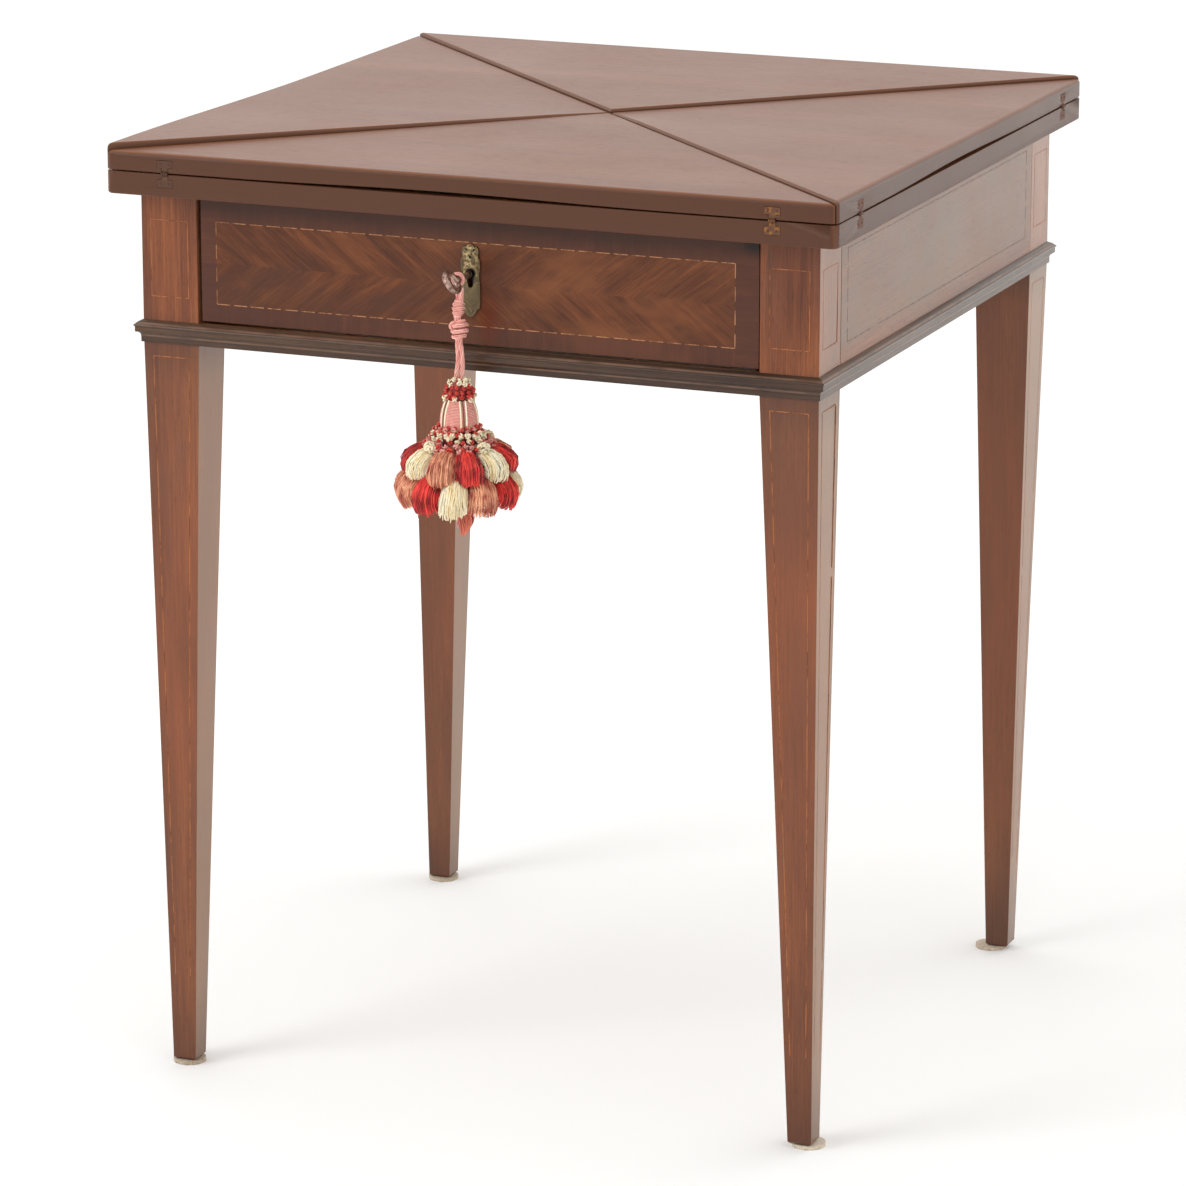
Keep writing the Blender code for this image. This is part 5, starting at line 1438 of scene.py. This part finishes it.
hanging = [cord_place(step / CORD_STEPS) for step in range(CORD_STEPS + 1)]
through = [Vector((plumb.x, plumb.y, head_high.z + (cord_low.z - head_high.z) * step / CORD_STEPS))
           for step in range(1, CORD_STEPS + 1)]
cord_line = smooth_line(hanging + through, 2)

# %% Lay the doubled cord along it
YARNS_IN_LEG = 5
YARN_RADIUS = 0.00062
YARN_LAY_RADIUS = 0.00118
YARN_TURNS = 40.0
YARN_SIDES = 6
YARN_SHAKE = 0.0002
LEG_TURNS = 1.6
# half the gap between the two legs, at shares of the hanging stretch
LEG_SPREAD = ((0.0, 0.0018), (0.30, 0.0010), (0.42, 0.0012), (0.56, 0.0010), (0.72, 0.0015),
              (1.0, 0.0022), (1.2, 0.0012), (3.0, 0.0010))


def doubled(line, turns_per_metre, spreads):
    """Two lines that wind slowly round one, side by side from the front, with a gap read from spreads."""
    legs = [[], []]
    gone = 0.0
    for index, point in enumerate(line):
        if index:
            gone += (point - line[index - 1]).length
        angle = CAMERA_YAW + math.tau * turns_per_metre * (gone - cord_high.z + head_high.z)
        half_gap = between(spreads, gone / (cord_high.z - head_high.z))
        aside = Vector((math.cos(angle), math.sin(angle), 0.0)) * half_gap
        legs[0].append(point + aside)
        legs[1].append(point - aside)
    return legs


laid_yarn = {"Strands": YARNS_IN_LEG, "Strand Radius": YARN_RADIUS, "Lay Radius": YARN_LAY_RADIUS,
             "Turns Per Metre": YARN_TURNS, "Sides": YARN_SIDES, "Shake": YARN_SHAKE, "Material": pink}
fine_line = smooth_line(hanging + through, 8)
cord_legs = doubled(fine_line, LEG_TURNS, LEG_SPREAD)
cord = grow("cord", lines_mesh("cord_legs", cord_legs), strand_tree, laid_yarn)
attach(cord, "tassel")
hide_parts("tassel_cord")

# %% [markdown]
# ## Loop and knots
#
# An overhand knot in a doubled cord, pulled tight, is a fat little barrel: the cord goes round itself two
# or three times and tucks under. Tying it by simulation would be a long way round for something 15 mm
# high, so each knot is a line that winds round the cord, fullest in the middle and tilted, and the larger
# one has a small ear standing out where the end was tucked. The loop round the shank is a plain ring. Both
# take the same lay of yarns as the cord, so they read as the same cord.

# %% Tie the knots
VIEW_ANGLE = CAMERA_YAW - math.pi / 2
KNOT_STEPS = 90
SMALL_KNOT_DROP = 0.0220
BIG_KNOT_DROP = 0.0385
# half width, half height, turns
SMALL_KNOT = (0.0034, 0.0056, 5.1)
BIG_KNOT = (0.0053, 0.0062, 4.2)
KNOT_SQUARENESS = 0.45
KNOT_TILT = 0.30
KNOT_TILT_ANGLE = 1.2
EAR_REACH = 0.0054
EAR_SHARES = ((0.0, 0.0), (0.9, 0.1), (1.25, 0.5), (0.8, 0.85), (0.0, 0.8))
EAR_STEPS = 6


def wound_knot(centre, width, height, turns, start):
    """A line wound round the cord: width and height are half sizes; it starts and ends inside the cord."""
    line = []
    for step in range(KNOT_STEPS + 1):
        share = step / KNOT_STEPS
        angle = math.tau * (turns * share + start)
        fullness = math.sin(math.pi * share) ** KNOT_SQUARENESS
        up = height * math.cos(math.pi * share)
        out = width * fullness
        tilt = KNOT_TILT * out * math.cos(angle - VIEW_ANGLE - KNOT_TILT_ANGLE)
        line.append(centre + Vector((out * math.cos(angle), out * math.sin(angle), up + tilt)))
    return line


def tie(name, drop, size, start, thicker, ear=0.0):
    """A knot on the cord, a drop below its top, in yarn that is thicker or thinner than the cord's own."""
    centre = cord_place(drop / (cord_high.z - head_high.z))
    inputs = {**laid_yarn, "Strand Radius": YARN_RADIUS * thicker, "Lay Radius": YARN_LAY_RADIUS * thicker}
    lines = [wound_knot(centre, *size, start)]
    if ear:
        aside = Vector((math.cos(CAMERA_YAW), math.sin(CAMERA_YAW), 0.0)) * -ear
        rise = Vector((0.0, 0.0, size[1]))
        lines.append(smooth_line([centre + aside * out + rise * up for out, up in EAR_SHARES], EAR_STEPS))
    return carried(grow(name, lines_mesh(name, lines), strand_tree, inputs), "tassel")


top_to_axis = cord_high.z - (loop_low.z + loop_high.z) / 2
small_knot = tie("small_knot", SMALL_KNOT_DROP + top_to_axis, SMALL_KNOT, 0.2, 0.94)
big_knot = tie("big_knot", BIG_KNOT_DROP + top_to_axis, BIG_KNOT, 0.55, 0.95, EAR_REACH)

# %% Pass the loop round the shank
LOOP_POINTS = 40
LOOP_YARN_SHARE = 0.82
loop_centre = (loop_low + loop_high) / 2
loop_radius = (loop_high.z - loop_low.z) / 2 - (loop_high.y - loop_low.y) / 2
loop_line = arc_points(loop_centre, loop_radius, 0.0, 1.0, LOOP_POINTS)
inputs = {**laid_yarn, "Strand Radius": YARN_RADIUS * LOOP_YARN_SHARE,
          "Lay Radius": YARN_LAY_RADIUS * LOOP_YARN_SHARE, "Shake": 0.0}
loop = grow("cord_loop", lines_mesh("loop", [loop_line]), strand_tree, inputs)
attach(loop, "loop")
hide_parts("tassel_loop")
print("Loop radius", round(loop_radius * 1000, 2), "mm")

# %% [markdown]
# ## The tassel's head
#
# A tassel is built round a turned wooden mould: the barrel is wound with pink thread, crossed by upright
# pairs of cream cord with a brown line between them, and finished above and below with ruffs of looped
# yarn that look like rows of small knots. The winding is one long helix along the mould's profile. Each
# bobble in a ruff is a little knot of yarn, made once and set out in rings by the copies tree. A ring is
# a radius, a drop and a count, and a little scatter keeps it from looking like beadwork.

# %% Turn the mould
BARREL_RADIUS = 0.0140
MOULD_SIDES = 40
# radii at shares of the way down the head
MOULD_SHARES = ((0.0, 0.28), (0.04, 0.46), (0.16, 0.62), (0.30, 0.64), (0.40, 0.78), (0.52, 0.90),
                (0.66, 0.95), (0.76, 0.94), (0.86, 1.02), (0.97, 1.15), (1.0, 0.60))
head_length = head_high.z - head_low.z


def around_plumb(radius, angle, height):
    """A place round the tassel's plumb line."""
    return Vector((plumb.x + radius * math.cos(angle), plumb.y + radius * math.sin(angle), height))


def turned_shape(name, rings, sides, material):
    """A solid turned about the plumb line: rings of (radius, height) from the top down."""
    shape = bmesh.new()
    loops = [[shape.verts.new(around_plumb(radius, math.tau * side / sides, height))
              for side in range(sides)] for radius, height in rings]
    for upper, lower in zip(loops, loops[1:]):
        for side in range(sides):
            after = (side + 1) % sides
            shape.faces.new((upper[side], lower[side], lower[after], upper[after]))
    shape.faces.new(loops[0])
    shape.faces.new(list(reversed(loops[-1])))
    bmesh.ops.recalc_face_normals(shape, faces=shape.faces)
    return place_piece(name, shape, "tassel", [material])


mould = turned_shape("tassel_mould", [(BARREL_RADIUS * radius, head_high.z - head_length * share)
                                      for share, radius in MOULD_SHARES], MOULD_SIDES, crimson)
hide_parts("tassel_head")

# %% Wind the barrel
WINDING_PITCH = 0.00105
WINDING_RADIUS = 0.00054
WINDING_STEPS = 34
BARREL_SHARES = ((0.30, 0.70), (0.37, 0.80), (0.46, 0.91), (0.56, 0.975), (0.66, 1.0), (0.76, 0.98))


def strands_piece(name, lines, inputs):
    return carried(grow(name, lines_mesh(name, lines), strand_tree, inputs), "tassel")


def barrel_radius(share):
    """The radius of the barrel at a share of the way down the head."""
    return BARREL_RADIUS * between(BARREL_SHARES, share, lambda part: max(0.0, part))


def on_head(radius, angle, share):
    """A place round the plumb line, at a share of the way down the head."""
    return around_plumb(radius, angle, head_high.z - head_length * share)


first, last = BARREL_SHARES[0][0], BARREL_SHARES[-1][0]
turns = int(head_length * (last - first) / WINDING_PITCH)
winding = []
for step in range(turns * WINDING_STEPS + 1):
    share = first + (last - first) * step / (turns * WINDING_STEPS)
    winding.append(on_head(barrel_radius(share), math.tau * step / WINDING_STEPS, share))
barrel = strands_piece("barrel_winding", [winding],
                       {"Strand Radius": WINDING_RADIUS, "Sides": 6, "Material": pink})
print("Barrel of", turns, "turns")

# %% Cross the barrel with upright cords
BARREL_PAIRS = 5
PAIR_TURN = 0.047
PAIR_APART = 0.0022
PAIR_RADIUS = 0.00052
PAIR_STEPS = 12
CREAM_FULLER = 1.2
PAIR_SIDES = 8
cream_lines, umber_lines = [], []
for pair in range(BARREL_PAIRS):
    for lane, store in ((-1, cream_lines), (0, umber_lines), (1, cream_lines)):
        line = []
        for step in range(PAIR_STEPS + 1):
            share = first + (last - first) * step / PAIR_STEPS
            radius = barrel_radius(share) + PAIR_RADIUS
            angle = VIEW_ANGLE + math.tau * (pair / BARREL_PAIRS + PAIR_TURN) + lane * PAIR_APART / radius
            line.append(on_head(radius, angle, share))
        store.append(line)
cream_cords = strands_piece("barrel_cream_cords", cream_lines,
                            {"Strand Radius": PAIR_RADIUS * CREAM_FULLER, "Sides": PAIR_SIDES,
                             "Material": cream})
umber_cords = strands_piece("barrel_brown_cords", umber_lines,
                            {"Strand Radius": PAIR_RADIUS, "Sides": PAIR_SIDES, "Material": umber})

# %% Tie one bobble
BOBBLE_STEPS = 19
BOBBLE_SIDES = 3
BOBBLE_RADIUS = 0.54
BOBBLE_LOBE = 0.30
BOBBLE_HEIGHT = 1.6
BOBBLE_YARN = 0.36


def bobble():
    """A small knot of yarn, one unit across its radius: a line that goes twice round a ring and three times
    through it, given a round body."""
    line = []
    for step in range(BOBBLE_STEPS + 1):
        angle = math.tau * step / BOBBLE_STEPS
        out = BOBBLE_RADIUS + BOBBLE_LOBE * math.cos(3 * angle)
        line.append(Vector((out * math.cos(2 * angle), out * math.sin(2 * angle),
                            BOBBLE_HEIGHT * BOBBLE_LOBE * math.sin(3 * angle))))
    inputs = {"Strand Radius": BOBBLE_YARN, "Sides": BOBBLE_SIDES, "Material": cream}
    return grow("bobble", lines_mesh("bobble", [line]), strand_tree, inputs)


ball = bobble()

# %% Set out the bobbles
RINGS = (
    # colour, radius, drop down the head, count, bobble radius, turn of the first in turns
    ("cream", 0.0050, 0.0006, 6, 0.0021, 0.02),
    ("cream", 0.0080, 0.0030, 9, 0.0019, 0.33),
    ("crimson", 0.0090, 0.0058, 12, 0.0019, 0.07),
    ("crimson", 0.0102, 0.0092, 13, 0.0019, 0.05),
    ("crimson", 0.0108, 0.0126, 12, 0.0019, 0.11),
    ("cream", 0.0110, 0.0138, 6, 0.0026, 0.46),
    ("crimson", 0.0150, 0.0360, 21, 0.0020, 0.02),
    ("pink", 0.0160, 0.0374, 13, 0.0021, 0.06),
    ("crimson", 0.0178, 0.0394, 22, 0.0020, 0.035),
    ("cream", 0.0184, 0.0408, 21, 0.0023, 0.01),
    ("cream", 0.0206, 0.0436, 15, 0.0023, 0.0),
    ("crimson", 0.0212, 0.0446, 15, 0.0020, 0.02),
    ("pink", 0.0234, 0.0472, 21, 0.0026, 0.03),
    ("crimson", 0.0248, 0.0494, 17, 0.0026, 0.02),
    ("pink", 0.0264, 0.0512, 18, 0.0026, 0.05),
)
SCATTER = 0.0010
SCATTER_TURN = 0.22
SIZE_RANGE = (0.78, 1.22)
LARGE_BOBBLES = 4
LARGE_BOBBLE_REACH = 0.0286
LARGE_BOBBLE_DROP = 0.0488
LARGE_BOBBLE_TURN = 0.115
CLUSTER_COUNT = 24
CLUSTER_RADIUS = 0.0032
CLUSTER_BOBBLE = 0.0023
BOBBLE_YARNS = {"cream": cream, "crimson": scarlet, "pink": pink}
bobble_random = random.Random(5)
sets = {}
for kind, reach, drop, count, size, turn in RINGS:
    for step in range(count):
        nudge = bobble_random.uniform(-SCATTER_TURN, SCATTER_TURN)
        angle = VIEW_ANGLE + math.tau * ((step + nudge) / count + turn)
        level = head_high.z - drop + bobble_random.uniform(-SCATTER, SCATTER)
        out = reach + bobble_random.uniform(-SCATTER, SCATTER)
        outward = Vector([bobble_random.uniform(-1, 1) for axis in range(3)])
        sets.setdefault((kind, size), []).append((around_plumb(out, angle, level), outward))
for step in range(LARGE_BOBBLES):
    angle = VIEW_ANGLE + math.tau * (step / LARGE_BOBBLES + LARGE_BOBBLE_TURN)
    place = around_plumb(LARGE_BOBBLE_REACH, angle, head_high.z - LARGE_BOBBLE_DROP)
    for part in range(CLUSTER_COUNT):
        outward = Vector([bobble_random.gauss(0, 1) for axis in range(3)]).normalized()
        sets.setdefault(("cream", CLUSTER_BOBBLE), []).append((place + outward * CLUSTER_RADIUS, outward))
for index, ((kind, size), places) in enumerate(sorted(sets.items())):
    name = f"bobbles_{kind}_{index}"
    inputs = {"Template": ball, "Smallest": size * SIZE_RANGE[0], "Largest": size * SIZE_RANGE[1],
              "Seed": index + 1, "Material": BOBBLE_YARNS[kind]}
    carried(grow(name, points_mesh(name, places), copies_tree, inputs), "tassel")
bpy.data.objects.remove(ball)
print(sum(len(places) for places in sets.values()), "bobbles")

# %% [markdown]
# ## The tufts
#
# The skirt is two tiers of tufts, each a hank of cut yarn tied at its neck that swells out, folds over
# and is trimmed off below. Hair could do this, but a hank has a shape of its own that hair would have to
# be combed into. Here each yarn is a line: all of a tuft's yarns follow one middle line from neck to
# trim, and spread away from it as they go, some on the outside of the hank and some within. The strand
# tree then gives the lines a body and shakes them, so that no two lie alike. A plain turned core fills
# the skirt behind the tufts.

# %% Draw the lines of a tuft's yarns
# how far the yarns stand from their middle line, at shares of their length
TUFT_SPREAD = ((0.0, 0.16), (0.25, 0.52), (0.5, 0.92), (0.75, 1.06), (1.0, 1.06))
TIP_SPREAD = (0.5, 1.0, 0.8, 0.22)
TUFT_STEPS = 9
WIDTH_RANGE = (0.92, 1.06)
DEPTH_RANGE = (0.92, 1.04)
TWIST = 0.10
UNEVEN = 0.0016
SIDE_RISE = 0.0056
SHELL_SHARE = 0.62
SHELL_RANGE = (0.84, 1.0)
INNER_FILL = 0.74
STRAY_SHARE = 0.04
STRAY_REACH = 1.12
TRIM_RANGE = (0.88, 1.0)
tuft_random = random.Random(11)


def tuft_lines(middle, angle, size, count):
    """Lines of yarn from a tuft's neck to its trimmed end; heights are from the bottom of the head. The
    tufts at the sides stand out more than those in front, so their ends are higher."""
    half_width = size[0] * tuft_random.uniform(*WIDTH_RANGE)
    half_depth = size[1] * tuft_random.uniform(*DEPTH_RANGE)
    droop = tuft_random.uniform(-UNEVEN, UNEVEN)
    twist = tuft_random.uniform(-TWIST, TWIST)
    rise = SIDE_RISE * math.sin(angle - VIEW_ANGLE) ** 2
    points = []
    for step, (radius, height) in enumerate(middle):
        down = step / (len(middle) - 1)
        points.append(Vector((radius, 0.0, skirt_high.z + height + droop * down + rise * down * down)))
    spine = smooth_line(points, 3)
    lines = []
    for index in range(count):
        shell = index < count * SHELL_SHARE
        if shell:
            reach = tuft_random.uniform(*SHELL_RANGE)
            way = math.tau * (index / (count * SHELL_SHARE))
        else:
            reach = math.sqrt(tuft_random.uniform(0.0, INNER_FILL))
            way = math.tau * tuft_random.random()
        stray = STRAY_REACH if tuft_random.random() < STRAY_SHARE else 1.0
        cut_at = tuft_random.uniform(*TRIM_RANGE)
        line = []
        for step in range(TUFT_STEPS + 1):
            share = step / TUFT_STEPS * cut_at
            at = share * (len(spine) - 1)
            low = min(int(at), len(spine) - 2)
            point = spine[low].lerp(spine[low + 1], at - low)
            slope = (spine[low + 1] - spine[low]).normalized()
            outward = Vector((-slope.z, 0.0, slope.x))
            wide = between(TUFT_SPREAD, share) * (1 + (stray - 1) * share * share)
            point = point + outward * (reach * math.sin(way) * half_depth * wide)
            sideways = reach * math.cos(way) * half_width * wide
            turn = angle + twist * share + sideways / max(point.x, half_width)
            line.append(around_plumb(max(point.x, 0.0), turn, point.z))
        lines.append(line)
    return lines


def straight_tuft(middle, size, count):
    """The little tuft at the tip, round the plumb line itself."""
    lines = []
    for index in range(count):
        reach = math.sqrt(tuft_random.random())
        way = math.tau * tuft_random.random()
        line = []
        for wide, (aside, height) in zip(TIP_SPREAD, middle):
            line.append(Vector((plumb.x + aside + size[0] * reach * wide * math.cos(way),
                                plumb.y + size[1] * reach * wide * math.sin(way), skirt_high.z + height)))
        lines.append(smooth_line(line, 2))
    return lines


# %% Grow the tufts
UPPER_COLOURS = ("salmon", "crimson", "cream", "crimson", "salmon", "cream", "crimson", "salmon",
                 "crimson", "cream")
LOWER_COLOURS = ("cream", "salmon", "crimson", "cream", "salmon", "crimson", "cream", "crimson", "salmon",
                 "salmon", "crimson")
UPPER_TURN = -21 / 360
LOWER_TURN = -2.6 / 360
# middle lines: distance from the plumb line, and height from the bottom of the head
UPPER_MIDDLE = ((0.011, 0.0005), (0.0190, -0.0026), (0.0268, -0.0062), (0.0334, -0.0112),
                (0.0366, -0.0170), (0.0348, -0.0225))
LOWER_MIDDLE = ((0.011, -0.0190), (0.0230, -0.0198), (0.0335, -0.0235), (0.0402, -0.0312),
                (0.0402, -0.0385), (0.0366, -0.0460))
TIP_MIDDLE = ((0.0, -0.0440), (0.0040, -0.0530), (0.0055, -0.0610), (0.0030, -0.0705))
# half width and half depth
UPPER_SIZE = (0.0116, 0.0084)
LOWER_SIZE = (0.0112, 0.0082)
TIP_SIZE = (0.0070, 0.0070)
YARNS_IN_TUFT = 285
YARNS_IN_TIP = 95
TUFT_YARN_RADIUS = 0.00035
TUFT_SHAKE = 0.0042
TUFT_SHAKE_SCALE = 230.0
TIP_SHAKE = 0.0010
TUFT_LEAN = 0.05
TUFT_YARNS = {"crimson": crimson, "cream": cream, "salmon": salmon}
yarn_lines = {kind: [] for kind in TUFT_YARNS}
for colours, first_turn, middle, size in ((UPPER_COLOURS, UPPER_TURN, UPPER_MIDDLE, UPPER_SIZE),
                                          (LOWER_COLOURS, LOWER_TURN, LOWER_MIDDLE, LOWER_SIZE)):
    for step, kind in enumerate(colours):
        angle = VIEW_ANGLE + math.tau * (step / len(colours) + first_turn)
        lean = tuft_random.uniform(-TUFT_LEAN, TUFT_LEAN)
        yarn_lines[kind] += tuft_lines(middle, angle + lean, size, YARNS_IN_TUFT)
tufts = []
for kind, lines in yarn_lines.items():
    inputs = {"Strand Radius": TUFT_YARN_RADIUS, "Sides": 4, "Shake": TUFT_SHAKE,
              "Shake Scale": TUFT_SHAKE_SCALE, "Material": TUFT_YARNS[kind]}
    tufts.append(strands_piece("tufts_" + kind, lines, inputs))
tip = strands_piece("tuft_tip", straight_tuft(TIP_MIDDLE, TIP_SIZE, YARNS_IN_TIP),
                    {"Strand Radius": TUFT_YARN_RADIUS, "Sides": 5, "Shake": TIP_SHAKE, "Material": coral})
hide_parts("tassel_skirt")
for piece in tufts:
    print(piece.name, len(piece.data.polygons), "faces")

# %% Fill the skirt
CORE_RINGS = ((0.010, 0.003), (0.021, -0.002), (0.026, -0.009), (0.018, -0.017), (0.023, -0.024),
              (0.027, -0.032), (0.018, -0.041), (0.004, -0.046))
CORE_SIDES = 32
core = turned_shape("tassel_core", [(radius, skirt_high.z + height) for radius, height in CORE_RINGS],
                    CORE_SIDES, crimson)

# %% [markdown]
# ## Baize and felt
#
# Under the leaves is green baize, a wool cloth glued into the top, and under each foot a disc of felt.
# Cloth like this has no weave to see, only a nap: short fibres lying all ways, which scatter light
# softly. That is a high roughness, a little sheen, fine noise in the colour and a bump at the size of the
# fibres.

# %% A finish for cloth with a nap
def napped(name, dark, pale, nap_scale):
    """Wool cloth: fine noise for the fibres, and a slow one for wear."""
    material, tree, shader, place = new_finish(name, roughness=0.95)
    shader.inputs["Sheen Weight"].default_value = 0.22
    shader.inputs["Sheen Roughness"].default_value = 0.6
    nap = noise(tree, place, 4.0, 0.7, scale=nap_scale)
    wear = noise(tree, place, 3.0, scale=14.0)
    tone = maths(tree, "MULTIPLY_ADD", nap, 0.6, product(tree, wear, 0.4))
    tree.links.new(ramp(tree, tone, ((0.32, dark), (0.68, pale))), shader.inputs["Base Color"])
    bump(tree, shader, nap, 0.6, 0.0006)
    return material


# %% Lay the baize and felt
PAD_SLIP = Vector((-0.0042, -0.0015, 0.0))


def shift(shape, by):
    """One pad was stuck on a little out of place."""
    for vert in shape.verts:
        vert.co += by


baize = napped("green_baize", colour(28, 66, 36), colour(56, 102, 58), 1500.0)
felt = napped("white_felt", colour(138, 112, 84), colour(232, 220, 200), 800.0)
for name in sorted(nodes):
    if "baize" in name:
        cloth = dress(name, baize)
    if name.startswith("pad_"):
        slipped = PAD_SLIP if name == "pad_back_right" else Vector()
        dress(name, felt, change=lambda shape, by=slipped: shift(shape, by))

# %% Bring the scene up to date
bpy.context.view_layer.update()
